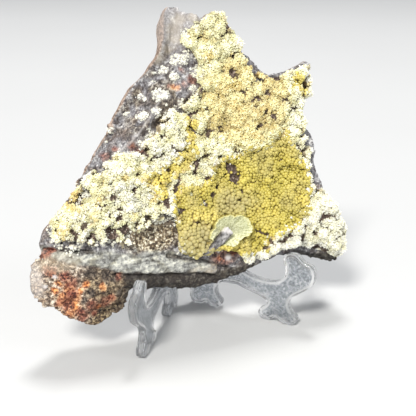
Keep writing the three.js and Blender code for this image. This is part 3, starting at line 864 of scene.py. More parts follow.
def tan_share(face):
    x, y, _ = face.T
    bend = 2.2 * drift(face, 6, 61) + 1.1 * drift(face, 2.4, 62)
    return np.maximum(blob(x + bend, y, 17, 61, 19, 17), 0.6 * blob(x, y + bend, 6, 76, 8, 6))


def fringe_share(face):
    x, y, _ = face.T
    lower_left = step(29, 18, y) * step(-12, -20, x)
    return np.maximum(lower_left, step(33, 42, x + 0.25 * np.abs(y - 40)))


def nearest(places, among):
    lookup = KDTree(len(among))
    for index, place in enumerate(among):
        lookup.insert(place, index)
    lookup.balance()
    found = [lookup.find(place) for place in places]
    return np.array([index for _, index, _ in found]), np.array([distance for _, _, distance in found])


# %% [markdown]
# Towards its rim the crust thins out to lace: single growths with the bare rock between them. So
# the distance from the rim is measured for every point, seen straight onto the face.

# %% The crust's skin and its thin rim
skin = fine_skin(merged_copy("mimetite_crust", "crust_bed"), STONE_VOXEL, 4)
points, normals, face, outward = measure(skin.data)
x, y, _ = face.T
olive = olive_share(face)
tan = tan_share(face)
fringe = fringe_share(face)
_, rim_distance = nearest(face * FLAT, face[np.abs(outward) < 0.3] * FLAT)
thin_left = step(0, -8, x) * (1 - 0.8 * blob(x, y, -48, 32, 9, 9))
thin_right = 0.6 * step(34, 38, x) * step(20, 26, y)
thin_top = 0.8 * blob(x, y, 20, 73, 11, 9)
lace = step(4.2, 0.8, rim_distance) * np.maximum.reduce([thin_left, thin_right, thin_top])
print("farthest from the rim:", round(float(rim_distance.max()), 1), "mm")

# %% [markdown]
# The skin is swollen into small rounded heaps, because mimetite beads gather like florets on a
# cauliflower: wide mounds and lumps in the olive hollow, smaller florets in short branches on
# the left. Where florets stand apart, the valley between them is bare, and so are the pits.

# %% The crust's heaps and gaps
HEAP_REACH = 0.74

olive_lumps = pebbles(face, 2.7, 43, HEAP_REACH)
flat_place = face * (1, 1, 0.3) + 0.9 * np.stack([drift(face, 4, 44), drift(face, 4, 45), 0 * x], axis=1)
branching = 0.6 * step(-4, -14, x)
floret = ((1 - branching) * pebbles(flat_place, 4.3, 41, HEAP_REACH)
          + branching * pebbles(flat_place, 2.9, 47, HEAP_REACH))
curl = pebbles(face, 2.0, 42, HEAP_REACH)
lumpiness = 1 - 0.45 * tan - 0.7 * olive * (1 - tan)
mounds = pebbles(flat_place, 6.5, 46, HEAP_REACH)
relief = (2.1 * floret + 0.7 * curl - 1.35) * lumpiness + (1.1 * olive_lumps + 1.5 * mounds - 1.5) * olive

gap_level = 0.09 + 0.05 * (1 - tan) + 0.13 * branching + 0.13 * fringe + 0.36 * lace - 0.4 * olive
gaps = step(gap_level + 0.08, gap_level - 0.05, floret + 0.14 * drift(face, 1.3, 51) + 0.1 * curl)
bend = drift(face, 2.4, 33)
pits = spots(x + 0.9 * bend, y + 0.9 * drift(face, 2.2, 34), PITS)
bare = np.maximum(gaps, pits)
in_fan = blob(x, y, *FAN_AT, 0.1)
top = step(-0.1, 0.3, outward)
see_rock = bare * step(5, 3, rim_distance) * step(0.1, 0.6, lace)
height = (relief - 0.9 * pits) * (1 - 0.7 * see_rock) - 2.6 * in_fan
skin_points = points + normals * (height * top)[:, None] * MM
write(skin.data, skin_points)
print("bare share of the crust:", round(float(bare[outward > 0.3].mean()), 3))

# %% [markdown]
# Bead places are scattered over that skin like seed: random points are taken one by one, and
# a point is kept only if it is far enough from those already kept. Each bead's own size sets
# the distance, so big and small beads pack together without combing into rows.

# %% Places for the beads
RANDOM = np.random.default_rng(1832)


def scatter_on(mesh, count):
    mesh.calc_loop_triangles()
    corners = np.empty(len(mesh.loop_triangles) * 3, np.int64)
    mesh.loop_triangles.foreach_get("vertices", corners)
    corners = corners.reshape(-1, 3)
    first, second, third = np.moveaxis(read(mesh, "co")[corners], 1, 0)
    area = np.linalg.norm(np.cross(second - first, third - first), axis=1)
    chosen = RANDOM.choice(len(area), count, p=area / area.sum())
    share = RANDOM.random((count, 2))
    share = np.where(share.sum(axis=1, keepdims=True) > 1, 1 - share, share)
    first, second, third = first[chosen], second[chosen], third[chosen]
    places = first + share[:, :1] * (second - first) + share[:, 1:] * (third - first)
    home = corners[chosen, RANDOM.integers(0, 3, count)]
    return places, read(mesh, "normal")[home], home


def keep_apart(places, spacing):
    cell = spacing.max()
    kept = {}
    chosen = []
    keys = np.floor(places / cell).astype(int)
    neighbours = list(np.ndindex(3, 3, 3))
    for i, (place, key, room) in enumerate(zip(places.tolist(), keys.tolist(), spacing.tolist())):
        near = False
        for a, b, c in neighbours:
            for px, py, pz, other in kept.get((key[0] + a - 1, key[1] + b - 1, key[2] + c - 1), ()):
                gap = (px - place[0]) ** 2 + (py - place[1]) ** 2 + (pz - place[2]) ** 2
                if gap < (0.5 * (room + other)) ** 2:
                    near = True
                    break
            if near:
                break
        if not near:
            kept.setdefault(tuple(key), []).append((*place, room))
            chosen.append(i)
    return np.array(chosen)


# %% [markdown]
# Three bead shapes are enough: a smooth ball for the olive and gold beads, a burr of blunt
# points for the cream ones, which are tufts of tiny crystals, and a coarse grain for the
# smallest. Ball and burr are icospheres of 80 faces, the grain one of 20. More faces would be
# rounder, but there are ten thousand beads, each about a millimetre wide. The burr's points are
# the twelve corners of the icosphere where five edges meet, drawn outward.

# %% Bead shapes


def bead_shape(subdivisions, points_out, points_in):
    bm = bmesh.new()
    bmesh.ops.create_icosphere(bm, subdivisions=subdivisions, radius=1.0)
    for vertex in bm.verts:
        vertex.co *= points_out if len(vertex.link_edges) == 5 else points_in
    bm.verts.index_update()
    vertices = np.array([vertex.co[:] for vertex in bm.verts])
    triangles = np.array([[vertex.index for vertex in face.verts] for face in bm.faces])
    bm.free()
    return vertices, triangles


BALL = bead_shape(2, 1.0, 1.0)
BURR = bead_shape(2, 1.42, 0.78)
GRAIN = bead_shape(1, 1.08, 1.08)
print("faces of a ball, a burr and a grain:", len(BALL[1]), len(BURR[1]), len(GRAIN[1]))

# %% [markdown]
# `grow` sets one shape on many places and joins them into a single mesh. Thousands of separate
# objects would be slow, and each of them would need a body and a slot. Every bead is turned at
# random, made a little lumpy, and sunk into the crust by 0.6 of its radius.

# %% Growing beads
SUNK_SHARE = 0.6
TILT = 0.15
BALL_LUMPS, TUFT_LUMPS = 0.04, 0.14


def unit(vectors):
    return vectors / np.linalg.norm(vectors, axis=1, keepdims=True)


def grow(name, shape, places, facing, size, hue, light, dust, smooth):
    vertices, triangles = shape
    count = len(places)
    up = unit(unit(facing) + RANDOM.normal(0, TILT, facing.shape))
    side = unit(np.cross(up, RANDOM.normal(size=up.shape)))
    across = np.cross(up, side)
    lumpy = 1 + RANDOM.normal(0, BALL_LUMPS if smooth else TUFT_LUMPS, (count, len(vertices), 1))
    spin = np.linalg.qr(RANDOM.normal(size=(count, 3, 3)))[0]
    local = np.einsum("nij,vj->nvi", spin, vertices) * lumpy * (size * MM)[:, None, None]
    tips = step(-0.5, 0.85, (local[..., 2] / (size * MM)[:, None]).ravel())
    where = local[..., :1] * side[:, None] + local[..., 1:2] * across[:, None] + local[..., 2:] * up[:, None]
    where += (places - up * (size * SUNK_SHARE * MM)[:, None])[:, None]
    mirrored = np.linalg.det(spin) < 0
    faces = triangles[None] + (np.arange(count) * len(vertices))[:, None, None]
    faces[mirrored] = faces[mirrored][:, :, ::-1]
    mesh = bpy.data.meshes.new(name)
    mesh.from_pydata(inside_box(where.reshape(-1, 3)), [], faces.reshape(-1, 3))
    mesh.update()
    hue, light, dust = (np.repeat(values, len(vertices)) for values in (hue, light, dust))
    paint(mesh, "growth", hue, light, tips, dust)
    finish_piece(into_scene(name, mesh), bead_finish, smooth=smooth)


# %% [markdown]
# The colour zones follow the growth: olive in the hollow, gold streaks around it, tan at the
# top, cream on the left, lemon spots in it, and white along the lower fringe. A bead's hue is
# one number, so each zone raises or lowers it where it lies.

# %% Colour zones of the crust
GOLD_LINES = [
    [(-4, 54.6), (-3.6, 50), (-4.8, 45.6), (-6.6, 42.4), (-12.2, 39.8), (-17, 37.6)],
    [(-18.4, 38.6), (-17, 33.6)], [(8.5, 10.8), (17.5, 10.6)], [(38.6, 66.1), (41, 63.5)],
]
LEMON_SPOTS = [
    (-49.4, 25.6, 2.6), (-46.8, 33.5, 2.4), (-43.3, 36.5, 2.6), (-37, 33, 1.4), (-28, 40, 1.2),
    (-33.4, 41, 1.4), (-40.5, 29, 1.6), (-26.2, 27.6, 1.6), (4.6, 83, 2.4), (3.6, 77, 1.6),
    (-14, 36, 2.4), (-22.6, 39.6, 1.6),
]


def crust_hue(face):
    x, y, _ = face.T
    bend = 2.2 * drift(face, 6, 61) + 1.1 * drift(face, 2.4, 62)
    hue = np.full(len(x), 0.2) + 0.1 * drift(face, 4, 63)
    hue = np.maximum(hue, 0.26 * blob(x, y + bend, 6, 84, 12, 12))
    hue = np.maximum(hue, (0.42 + 0.1 * drift(face, 3, 64)) * tan_share(face))
    white = np.maximum(step(26, 12, y + bend) * step(-8, -16, x), 0.75 * blob(x, y + bend, 42, 14, 16, 16))
    lower_rim = np.interp(x, [12, 20, 30, 50], [6.4, 6.8, 9, 2])
    white = np.maximum(white, (1 - step(2, 5, y - lower_rim)) * step(10, 14, x))
    white = np.maximum(white, 0.55 * step(0.1, 0.5, drift(face, 4.6, 67)) * (x < -6))
    hue = hue * (1 - 0.85 * white)
    hue = np.maximum(hue, 0.58 * spots(x + bend, y, LEMON_SPOTS) * (0.75 + 0.25 * drift(face, 1.6, 70)))
    for line in GOLD_LINES:
        hue = np.maximum(hue, 0.78 * (1 - step(1.2, 3.4, line_distance(x + 0.6 * bend, y, line))))
    olive = (0.92 + 0.1 * drift(face, 2.6, 65) + 0.14 * drift(face, 6, 60)
             - 0.16 * blob(x, y, -6, 17, 6, 7, 0.6))
    return np.maximum(hue, olive * olive_share(face))


print("gold streaks:", len(GOLD_LINES), "lemon spots:", len(LEMON_SPOTS))

# %% [markdown]
# Now the beads are chosen. All stand closer than they are wide, so that they grow into one
# another, and the round ones are larger than the tufts. Places over a pit, on bare rock or in
# the break are left out. The big beads choose first and the small ones fill the gaps.

# %% Choosing the beads' places
BEAD_CANDIDATES = 300000
ROUND_HUE = 0.62  # beads more golden than this are round, the others are tufts
SIZE_LIMITS = (0.26, 0.95)  # radius in millimetres
ROUND_ROOM, TUFT_ROOM = (1.15, 1.5), 1.3  # spacing, in radii

places, facing, home = scatter_on(skin.data, BEAD_CANDIDATES)
face = on_face(places)
x, y, _ = face.T
front = (facing @ FACE_AXES.T)[:, 2]
hue = crust_hue(face + RANDOM.normal(0, 0.8, face.shape))
round_ones = hue > ROUND_HUE
dusty = np.maximum(blob(x, y, -5.5, 15.5, 6, 6.5, 0.5), 0.8 * blob(x, y, 10.7, 26.7, 8, 4, 0.7))
size = np.where(round_ones, RANDOM.normal(0.54, 0.09, len(x)), RANDOM.gamma(11, 0.038, len(x)))
size = np.clip(size + 0.26 * dusty * round_ones, *SIZE_LIMITS)
in_break = blob(x, y, *FAN_AT, 0.1) > 0.4
empty = (front < -0.15) | (RANDOM.random(len(x)) < 1.15 * bare[home]) | (see_rock[home] > 0.3) | in_break
keep = np.flatnonzero(~empty)
keep = keep[np.argsort(-np.round(size[keep], 1), kind="stable")]
room = size[keep] * np.where(round_ones[keep], RANDOM.uniform(*ROUND_ROOM, len(keep)), TUFT_ROOM)
chosen = keep[keep_apart(places[keep] / MM, room)]
places, facing, home, face = places[chosen], facing[chosen], home[chosen], face[chosen]
size, hue, dusty, round_ones = size[chosen], hue[chosen], dusty[chosen], round_ones[chosen]
print("beads:", len(places), "of them round:", int(round_ones.sum()))

# %% [markdown]
# A bead's lightness follows the heap it sits on, light on the crown and dark in the valley, as
# light falls on the real crust. They are grown in six pieces, by kind and side, so that none
# gets too heavy to handle.

# %% Lightness and dust, and the six pieces of beads
BIG_TUFT = 0.45  # smaller ones get by with a grain's 20 faces

light = 0.24 + 0.52 * floret[home] + 0.36 * curl[home] + RANDOM.normal(0, 0.13, len(face))
calm_light = (0.4 - 0.22 * dusty + 0.22 * drift(face, 4.6, 69) + 0.3 * olive_lumps[home]
              + 0.26 * mounds[home] + RANDOM.normal(0, 0.06, len(face)))
places += facing * (round_ones * RANDOM.normal(0, 0.09, len(face)) * MM)[:, None]
light = np.where(round_ones, calm_light, light)
hue = hue + RANDOM.normal(0, 0.04, len(face)) + np.where(round_ones, 0, 0.22 * (0.45 - light) * (hue > 0.1))
dust = 0.66 * dusty + 0.06 + 0.4 * step(0.0, 0.6, drift(face, 6, 66)) * np.where(round_ones, 1, 0.4)
big = size > BIG_TUFT
left = face[:, 0] < -4
for name, pick, shape, smooth in (
    ("beads_gold", round_ones & (face[:, 0] < 10), BALL, True),
    ("beads_olive", round_ones & (face[:, 0] >= 10), BALL, True),
    ("tufts_left", ~round_ones & left & big, BURR, False),
    ("tufts_right", ~round_ones & ~left & big, BURR, False),
    ("grains_left", ~round_ones & left & ~big, GRAIN, False),
    ("grains_right", ~round_ones & ~left & ~big, GRAIN, False),
):
    grow(name, shape, places[pick], facing[pick], size[pick], hue[pick], light[pick], dust[pick], smooth)

# %% [markdown]
# The bed is the crust's own skin, pushed back so that the beads stand out of it and the gaps
# between them aren't holes. Where the crust thins out to lace, the rock should show in place of
# the bed, so the bed sinks below the level that the rock has at the same place.

# %% The bed under the beads
UNDER_ROCK = 0.9
FRONT_PUSH, BACK_PUSH = -0.6, 0.35

face = on_face(skin_points)
on_side = np.where(face[:, 0] < -8, -0.9, -0.3)
pushed = np.where(outward > 0.1, FRONT_PUSH, np.where(outward < -0.4, BACK_PUSH, on_side))
rock_front = on_face(read(matrix.data, "co"))[(read(matrix.data, "normal") @ FACE_AXES[2]) > 0.3]
behind, _ = nearest(face * FLAT, rock_front * FLAT)
rock_level = rock_front[behind, 2]
too_high = np.maximum(face[:, 2] - rock_level + UNDER_ROCK, 0) * see_rock
sunk = skin_points + normals * pushed[:, None] * MM - FACE_AXES[2] * (too_high * MM)[:, None]
write(skin.data, sunk)
paint(skin.data, "bed", crust_hue(face), bare, 0, 1)
finish_piece(skin, bed_finish)
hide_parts("mimetite_crust")

# %% [markdown]
# White tufts also grow on the bare grey rock of the left side: in small round colonies, and
# as strays along the crust's edge, fewer the farther they are from it. They are scattered on the
# rock's own skin, by the same functions as the beads.

# %% Where tufts grow on the bare rock
rock_points = read(matrix.data, "co")
rock_face = on_face(rock_points)
crust_front = skin_points[(outward > 0.1) & (see_rock < 0.3)]
to_crust = nearest(rock_points, crust_front)[1] / MM
x, y, _ = rock_face.T
clump = pebbles(rock_face + 0.6 * drift(rock_face, 1.5, 75)[:, None], 2.6, 68, 0.7)
near = step(3.6, 1.2, to_crust) * step(10, 14, y) * np.where(x < 5, 1, 0.4)
bare_level = 0.52 - 0.3 * near - 0.25 * blob(x, y, -42, 19, 18, 5)
straying = near * step(bare_level, bare_level + 0.1, clump)
growing = np.maximum(colony, straying) * step(0.1, 0.3, read(matrix.data, "normal") @ FACE_AXES[2])
print("share of the rock with tufts:", round(float(growing.mean()), 3))

# %% [markdown]
# Tufts are spaced and grown like the beads. Strays sit higher than the tufts of a colony, whose
# ground is swollen already.

# %% Tufts on the bare rock
TUFT_CANDIDATES = 90000

places, facing, home = scatter_on(matrix.data, TUFT_CANDIDATES)
keep = RANDOM.random(len(places)) < 1.3 * growing[home]
places, facing, home = places[keep], facing[keep], home[keep]
size = np.clip(RANDOM.gamma(11, 0.034, len(places)), 0.24, 0.55)
order = np.argsort(-np.round(size, 1), kind="stable")
chosen = order[keep_apart(places[order] / MM, size[order] * 1.15)]
home = home[chosen]
raised = 0.2 + 0.8 * straying[home] * clump[home] * (1 - colony[home])
places = places[chosen] + facing[chosen] * (raised * MM)[:, None]
light = 0.78 + RANDOM.normal(0, 0.15, len(home)) - 0.2 * (np.maximum(raised, colony[home]) < 0.6)
hue = 0.05 * RANDOM.random(len(home)) + 0.12 * (rock_face[home, 0] > 2)
facing, size = facing[chosen], size[chosen]
upper = rock_face[home, 1] > 40
for name, pick in (("tufts_on_rock_upper", upper), ("tufts_on_rock_lower", ~upper)):
    grow(name, BURR, places[pick], facing[pick], size[pick], hue[pick], light[pick], 0 * hue[pick], False)

# %% [markdown]
# One big growth in the olive hollow has been broken open. It shows the mimetite from inside:
# pale fibres that fan out from one point to a thin bright rind. The fan is a ring of points
# drawn outward from the centre, ring after ring. First come its rim and the level of the crust
# round it.

# %% The rim and level of the broken growth
FAN_CENTRE = (5.8, 17.6)
FAN_RIM = [
    (14.4, 17.6), (13.8, 19.6), (12.6, 21.5), (11, 22.5), (9.1, 22.8), (7.8, 22.3), (7.1, 23.1),
    (5.2, 23.3), (3.1, 23), (1.3, 22.1), (0.3, 20.7), (-0.1, 19.4), (-1.4, 18.3), (-2.2, 16.8),
    (-1.2, 15.4), (1.2, 14.2), (4.4, 12.9), (5.8, 12.2), (7.2, 12.3), (9.1, 14), (10.6, 14.8),
    (12.6, 15.2), (14.1, 16.2),
]
FAN_SPOKES = 300
FAN_RINGS = [*np.linspace(0.05, 0.85, 18), 0.88, 0.91, 0.93, 0.95, 0.97, 0.985, 1.0, 1.0]
FAN_PROFILE = [
    (0.05, 0.9), (0.36, 1.25), (0.66, 1.65), (0.86, 2.1), (0.91, 2.5), (0.95, 2.65), (0.985, 2.35),
    (1, 1.6),
]
FAN_HEIGHTS = [*np.interp(FAN_RINGS[:-1], *zip(*FAN_PROFILE)), -1.5]

spokes = np.linspace(-math.pi, math.pi, FAN_SPOKES, endpoint=False)
rim_places = np.array(FAN_RIM) - FAN_CENTRE
rim_angles = np.arctan2(rim_places[:, 1], rim_places[:, 0])
order = np.argsort(rim_angles)
rim_reach = np.interp(spokes, rim_angles[order], np.hypot(*rim_places.T)[order], period=2 * math.pi)
rim_reach *= 1 + 0.018 * np.sin(spokes * 17 + 1) + 0.014 * np.sin(spokes * 31)
calm_reach = np.mean([np.roll(rim_reach, turn) for turn in range(-24, 25)], axis=0)
fibres = RANDOM.normal(0, 1, FAN_SPOKES)
fibres = 0.6 * fibres + 0.4 * np.roll(fibres, 1)
skin_face = on_face(skin_points)


def ground_level(x, y):
    near = np.hypot(skin_face[:, 0] - x, skin_face[:, 1] - y) < 2.5
    return np.percentile(skin_face[near & (outward > 0.2), 2], 75)


FAN_GROUND = np.mean([ground_level(*place) for place in ((15, 22), (5, 26), (17, 17), (-3, 21))])
print("the crust round the break lies", round(FAN_GROUND, 2), "mm over the face's datum")

# %% [markdown]
# The rings are extruded one after another and then put in place, spoke by spoke: ruffled like
# the rim near it and calm near the centre, with a fine ridge for every fibre. At the lower left
# the rim dips under the blade of rock that comes next.

# %% The broken growth
bm = bmesh.new()
bmesh.ops.create_circle(bm, segments=FAN_SPOKES, radius=1.0)
edges = bm.edges[:]
rings = [bm.verts[:]]
for _ in FAN_RINGS[1:]:
    grown = bmesh.ops.extrude_edge_only(bm, edges=edges)["geom"]
    edges = [item for item in grown if isinstance(item, bmesh.types.BMEdge)]
    rings.append([item for item in grown if isinstance(item, bmesh.types.BMVert)])
under_blade = 1.5 * np.exp(-((spokes + 2.5) / 0.35) ** 2)
for ring, share, lift in zip(rings, FAN_RINGS, FAN_HEIGHTS):
    for vertex in ring:
        angle = math.atan2(vertex.co.y, vertex.co.x)
        spoke = int(round((angle + math.pi) / (2 * math.pi) * FAN_SPOKES)) % FAN_SPOKES
        ruffled = min(1, max(0, share * 2 - 0.7))
        reach = (rim_reach[spoke] * ruffled + calm_reach[spoke] * (1 - ruffled)) * share
        ridge = 0.05 * fibres[spoke] * min(share * 2, 1) * (share < 0.93)
        vertex.co = (FAN_CENTRE[0] + reach * math.cos(spokes[spoke]),
                     FAN_CENTRE[1] + reach * math.sin(spokes[spoke]),
                     FAN_GROUND + lift + ridge - share * under_blade[spoke])
bmesh.ops.contextual_create(bm, geom=rings[0])
bmesh.ops.contextual_create(bm, geom=rings[-1])
bmesh.ops.recalc_face_normals(bm, faces=bm.faces)
fan_mesh = mesh_of(bm, "broken_growth")
fan = into_scene("broken_growth", fan_mesh)
fan_places = read(fan_mesh, "co")
from_centre = fan_places[:, :2] - FAN_CENTRE
angles = np.arctan2(from_centre[:, 1], from_centre[:, 0])
share = np.hypot(*from_centre.T) / np.interp(angles, spokes, rim_reach, period=2 * math.pi)
share = np.where(fan_places[:, 2] < FAN_GROUND + 1, 1.0, share)
streak = 0.5 + 0.5 * np.clip(np.interp(angles, spokes, fibres, period=2 * math.pi), -1, 1)
sugar = 0.16 * drift(fan_places, 0.6, 78) + 0.26 * drift(fan_places, 1.3, 73) + 0.5 * drift(fan_places, 4, 74)
fan_places += sugar[:, None] * (0.5, 0.5, 1)
write(fan_mesh, off_face(fan_places))
low_right = blob(*fan_places[:, :2].T, 7.3, 14, 2.8, 2.3, 0.6)
far_left = blob(*fan_places[:, :2].T, 0.6, 17.2, 2, 2.2, 0.6)
sugary = low_right + 0.7 * far_left
paint(fan_mesh, "fan", share, streak, sugary, 1)
print("broken growth:", len(fan_mesh.vertices), "points")

# %% [markdown]
# Its material goes from the greyish centre to a bright ring and a dark olive rind, streaked along
# the fibres and blotched by grains. Two corners of the break are sugary white.

# %% The broken growth's material
SUGAR = (0.9, 0.88, 0.62)

fan_finish, tree, shader = new_material("broken fibres", Roughness=0.5)
reach, streak, sugary, _ = masks(tree, "fan")
fine = speckle(tree, 1600)["Fine"]
fan_colour = ramp(tree, reach, (0.1, (0.42, 0.42, 0.29)), (0.5, (0.57, 0.575, 0.38)),
                  (0.82, (0.61, 0.62, 0.4)), (0.92, (0.84, 0.82, 0.5)), (0.985, (0.66, 0.6, 0.24)),
                  (1.0, (0.3, 0.24, 0.06)))
streaks = ramp(tree, streak, (0.2, (0.76, 0.76, 0.68)), (0.7, (1.04, 1.04, 1.04)))
fan_colour = mix(tree, maths(tree, "MULTIPLY", sugary, 0.75), fan_colour, SUGAR)
blotches = ramp(tree, fine, (0.36, (0.66, 0.66, 0.5)), (0.5, (0.92, 0.92, 0.86)), (0.64, (1.2, 1.2, 1.2)))
fan_colour = tint(tree, tint(tree, fan_colour, blotches), streaks)
tree.links.new(fan_colour, shader.inputs["Base Color"])
bumpy(tree, shader, fine, strength=0.6, depth=0.4)
finish_piece(fan, fan_finish)

# %% [markdown]
# A thin blade of the host rock sticks out of the break. It is a box, cut into small faces and
# bent along a drawn line with its own width and level at each place. It is roughened and
# painted like the rest of the stone, so it can share the rock's material, with a painted sheen
# along it and painted shade on both its sides.

# %% The rock blade in the break
BLADE_LINE = [(5.6, 18.2), (2.2, 15.4), (-0.9, 13.1), (-4.0, 11)]
BLADE_HALF_WIDTHS = [1.6, 1.7, 1.1, 0.3]
BLADE_LEVELS = [3, 2.6, 2.1, 1.3]
BLADE_SHARES = [0, 0.5, 0.75, 1]
BLADE_DEPTH = 4.5
BLADE_ACROSS = np.array([0.68, -0.73])

bm = bmesh.new()
bmesh.ops.create_cube(bm, size=1.0)
bmesh.ops.subdivide_edges(bm, edges=bm.edges[:], cuts=14, use_grid_fill=True)
for vertex in bm.verts:
    share = vertex.co.x + 0.5
    middle = np.array([np.interp(share, BLADE_SHARES, line) for line in zip(*BLADE_LINE)])
    half = np.interp(share, BLADE_SHARES, BLADE_HALF_WIDTHS)
    level = np.interp(share, BLADE_SHARES, BLADE_LEVELS)
    place = middle + BLADE_ACROSS * vertex.co.y * 2 * half
    vertex.co = (*place, FAN_GROUND + level + (vertex.co.z - 0.5) * BLADE_DEPTH - 0.5 * vertex.co.y)
bmesh.ops.recalc_face_normals(bm, faces=bm.faces)
blade_mesh = mesh_of(bm, "rock_blade")
blade = into_scene("rock_blade", blade_mesh)
blade_places = read(blade_mesh, "co")
white_edge = step(16.6, 17.6, blade_places[:, 1] + 0.35 * (blade_places[:, 0] - 5))
side_x, side_y = (blade_places[:, :2] - BLADE_LINE[1]).T * BLADE_ACROSS[:, None]
blade_side = side_x + side_y
chipped = 0.35 * drift(blade_places, 1.6, 71) + 0.2 * drift(blade_places, 0.8, 72)
blade_places += chipped[:, None] * (0.5, 0.5, 1)
write(blade_mesh, off_face(blade_places))
# Painted light on the blade: pale sheen streaks, and shade on the two sides away from the white edge.
painted_sheen = step(0.1, 0.5, drift(blade_places * (0.5, 0.5, 1), 0.8, 79))
in_shade = np.maximum(step(0.9, 1.5, blade_side), 0.8 * step(-1.1, -1.5, blade_side)) * (1 - white_edge)
paint(blade_mesh, "zones", 0, 0.3, 0, 0)
paint(blade_mesh, "marks", 0, 0, 0, 0.2 + 0.8 * in_shade)
paint(blade_mesh, "washes", np.maximum(0.45 * painted_sheen, 0.95 * white_edge), 0, 0.6 * in_shade, 0)
finish_piece(blade, rock_finish)

# %% [markdown]
# The easel's two sides are the same moulding: two splayed feet, an arm with an upturned hook
# that holds the stone, and a tall post. Each side is drawn as one smooth outline, given its
# thickness, and inset on both faces to leave a raised rim round a sunk web. A Bezier curve would
# do for the outline, but a curve through given points is easier to match to a real shape.

# %% The outline of an easel side
HINGE_PLACE = Vector((HINGE_X, HINGE_Y, 0)) * MM
OPEN_ANGLE = 74.6
SIDE_THICKNESS = 3.2
SIDE_OFFSET = 3.8
RIM_WIDTH = 1.7
POCKET_DEPTH = 0.7
SIDE_CURVES = [
    [(0.7, 3.4), (1.2, 1.3), (2.8, 0)], [(5, 0)],
    [(5, 0), (6.3, 0.8), (7.4, 1.4), (8.5, 0.8), (9.8, 0)], [(12, 0)],
    [(12, 0), (13.7, 1.1), (14.1, 2.9), (12.6, 4.6), (11.7, 6.6), (12.2, 9), (15, 11), (20.4, 11.4)],
    [(20.4, 11.4), (26, 9.9), (31, 8.5), (32.6, 6.8), (31.4, 4.9), (29.5, 3.4), (29.6, 1.3), (31.3, 0)],
    [(33.6, 0)],
    [(33.6, 0), (35, 1), (36.2, 1.7), (37.6, 1), (39.2, 0)], [(42, 0)],
    [(42, 0), (44, 1.1), (44.3, 3.1), (42.4, 5), (41, 7.6), (42, 10.4), (45.2, 12.9)],
    [(45.2, 12.9), (49.4, 16.4), (50.6, 20.6), (49.4, 23.6), (46.8, 24.6), (45.3, 25.6)],
    [(45.3, 25.6), (43.8, 27.2), (41, 27.3), (38.8, 25.9), (38.6, 24), (39.5, 22), (39.2, 18.6),
     (36.6, 15.9)],
    [(36.6, 15.9), (32.6, 15.2), (27, 15.7), (20.5, 18), (15.6, 20.9), (12.7, 24.6)],
    [(12.7, 24.6), (11.4, 33), (9.4, 48), (8, 60), (6.3, 73.4)],
    [(6.3, 73.4), (5.6, 75.4), (3.6, 76), (1.5, 75.4), (0.7, 73.6)],
]


def smooth_through(points, steps):
    points = [np.array(point, float) for point in points]
    drawn = []
    for i in range(len(points) - 1):
        before, here, there = points[max(i - 1, 0)], points[i], points[i + 1]
        after = points[min(i + 2, len(points) - 1)]
        for part in np.arange(1, steps + 1) / steps:
            drawn.append(0.5 * (2 * here + (there - before) * part
                                + (2 * before - 5 * here + 4 * there - after) * part ** 2
                                + (3 * here - before - 3 * there + after) * part ** 3))
    return drawn


side_outline = []
for curve in SIDE_CURVES:
    side_outline += [np.array(curve[0], float)] if len(curve) == 1 else smooth_through(curve, 3)
print("points round an easel side:", len(side_outline))

# %% [markdown]
# The sides swing on two pairs of knuckles at the back. One side carries the pins, the other
# snaps on them with open clips. Everything is put in one mesh, and a fine voxel remesh melts
# it into one moulding with the softly rounded edges that moulded plastic has.

# %% Knuckles, pins and clips
KNUCKLE_RADIUS = 1.9
PIN_RADIUS = 0.9
BORE_RADIUS = 1.2
SNAP_HALF_ANGLE = math.radians(40)
PIN_KNUCKLE = 3.2
CLIP_HEIGHT = 7
HINGE_GAP = 0.3
HINGE_STARTS = (8, 46)


def upright(bm, radius, low, high):
    place = Matrix.Translation((0, (low + high) / 2, 0)) @ Matrix.Rotation(math.pi / 2, 4, "X")
    bmesh.ops.create_cone(bm, cap_ends=True, segments=40, radius1=radius, radius2=radius, depth=high - low,
                          matrix=place)


def root(bm, low, high, start, offset):
    place = Matrix.Translation((0.95, (low + high) / 2, (start + offset) / 2))
    size = Matrix.Diagonal((3.2, high - low, abs(offset - start), 1))
    bmesh.ops.create_cube(bm, size=1.0, matrix=place @ size)


def clip(bm, low, high):
    turns = np.linspace(math.pi - SNAP_HALF_ANGLE, -math.pi + SNAP_HALF_ANGLE, 40)
    outer = [(KNUCKLE_RADIUS * math.cos(turn), low, KNUCKLE_RADIUS * math.sin(turn)) for turn in turns]
    inner = [(BORE_RADIUS * math.cos(turn), low, BORE_RADIUS * math.sin(turn)) for turn in turns[::-1]]
    face = bm.faces.new([bm.verts.new(place) for place in outer + inner])
    raised = bmesh.ops.extrude_face_region(bm, geom=[face])["geom"]
    lifted = [item for item in raised if isinstance(item, bmesh.types.BMVert)]
    bmesh.ops.translate(bm, verts=lifted, vec=(0, high - low, 0))


def hinge_parts(bm, offset, with_pins):
    for low in HINGE_STARTS:
        clip_low = low + PIN_KNUCKLE + HINGE_GAP
        clip_high = clip_low + CLIP_HEIGHT
        high = clip_high + HINGE_GAP + PIN_KNUCKLE
        if with_pins:
            for part_low, part_high in ((low, low + PIN_KNUCKLE), (clip_high + HINGE_GAP, high)):
                upright(bm, KNUCKLE_RADIUS, part_low, part_high)
                root(bm, part_low, part_high, 0, offset)
            upright(bm, PIN_RADIUS, low + 0.5, high - 0.5)
        else:
            clip(bm, clip_low, clip_high)
            root(bm, clip_low, clip_high, math.copysign(BORE_RADIUS + 0.2, offset), offset)


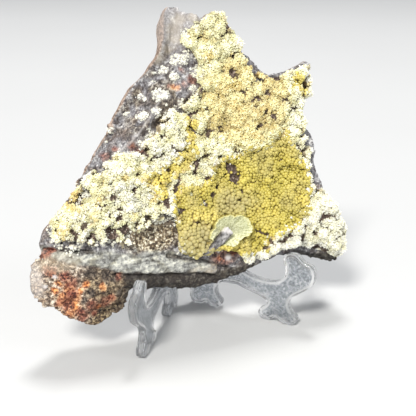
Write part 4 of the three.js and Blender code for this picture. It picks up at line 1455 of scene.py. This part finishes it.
# %% [markdown]
# A side is moulded lying flat, remeshed, and only then turned up and swung open about the hinge.
# Flat, it is easy to tell the sunk web from the rims by depth alone, and the web is painted.

# %% The easel's sides


def easel_side(name, offset, forward, with_pins):
    bm = bmesh.new()
    lower = offset - SIDE_THICKNESS / 2
    start = bm.faces.new([bm.verts.new((a, height, lower)) for a, height in side_outline])
    raised = bmesh.ops.extrude_face_region(bm, geom=[start])["geom"]
    end = next(item for item in raised if isinstance(item, bmesh.types.BMFace))
    bmesh.ops.translate(bm, verts=end.verts[:], vec=(0, 0, SIDE_THICKNESS))
    for face, inward in ((start, 1), (end, -1)):
        bmesh.ops.inset_region(bm, faces=[face], thickness=RIM_WIDTH, use_even_offset=True)
        bmesh.ops.translate(bm, verts=face.verts[:], vec=(0, 0, inward * POCKET_DEPTH))
    hinge_parts(bm, offset, with_pins)
    bmesh.ops.recalc_face_normals(bm, faces=bm.faces)
    bmesh.ops.triangulate(bm, faces=bm.faces)
    piece = into_scene(name, mesh_of(bm, name))
    for vertex in piece.data.vertices:
        vertex.co *= MM
    fine_skin(piece, EASEL_VOXEL, 5)
    flat = read(piece.data, "co") / MM
    depth = np.abs(np.abs(flat[:, 2] - offset) - (SIDE_THICKNESS / 2 - POCKET_DEPTH))
    web = (1 - step(0.12, 0.3, depth)) * (np.abs(flat[:, 2] - offset) < SIDE_THICKNESS / 2)
    direction = Vector((math.cos(forward), math.sin(forward), 0))
    across = direction.cross(Vector((0, 0, 1)))
    turn = Matrix((direction, Vector((0, 0, 1)), across)).transposed().to_4x4()
    piece.data.transform(Matrix.Translation(HINGE_PLACE) @ turn)
    write(piece.data, read(piece.data, "co"))
    paint(piece.data, "frost", web, 0, 0, 1)
    return piece


half_open = math.radians(OPEN_ANGLE / 2)
right_side = easel_side("easel_side_right", -SIDE_OFFSET, -math.pi / 2 + half_open, True)
finish_piece(right_side, plastic_finish, "right_side")
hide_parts("easel_right_side")
left_side = easel_side("easel_side_left", SIDE_OFFSET, -math.pi / 2 - half_open, False)
finish_piece(left_side, plastic_finish, "left_side")
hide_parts("easel_left_side")
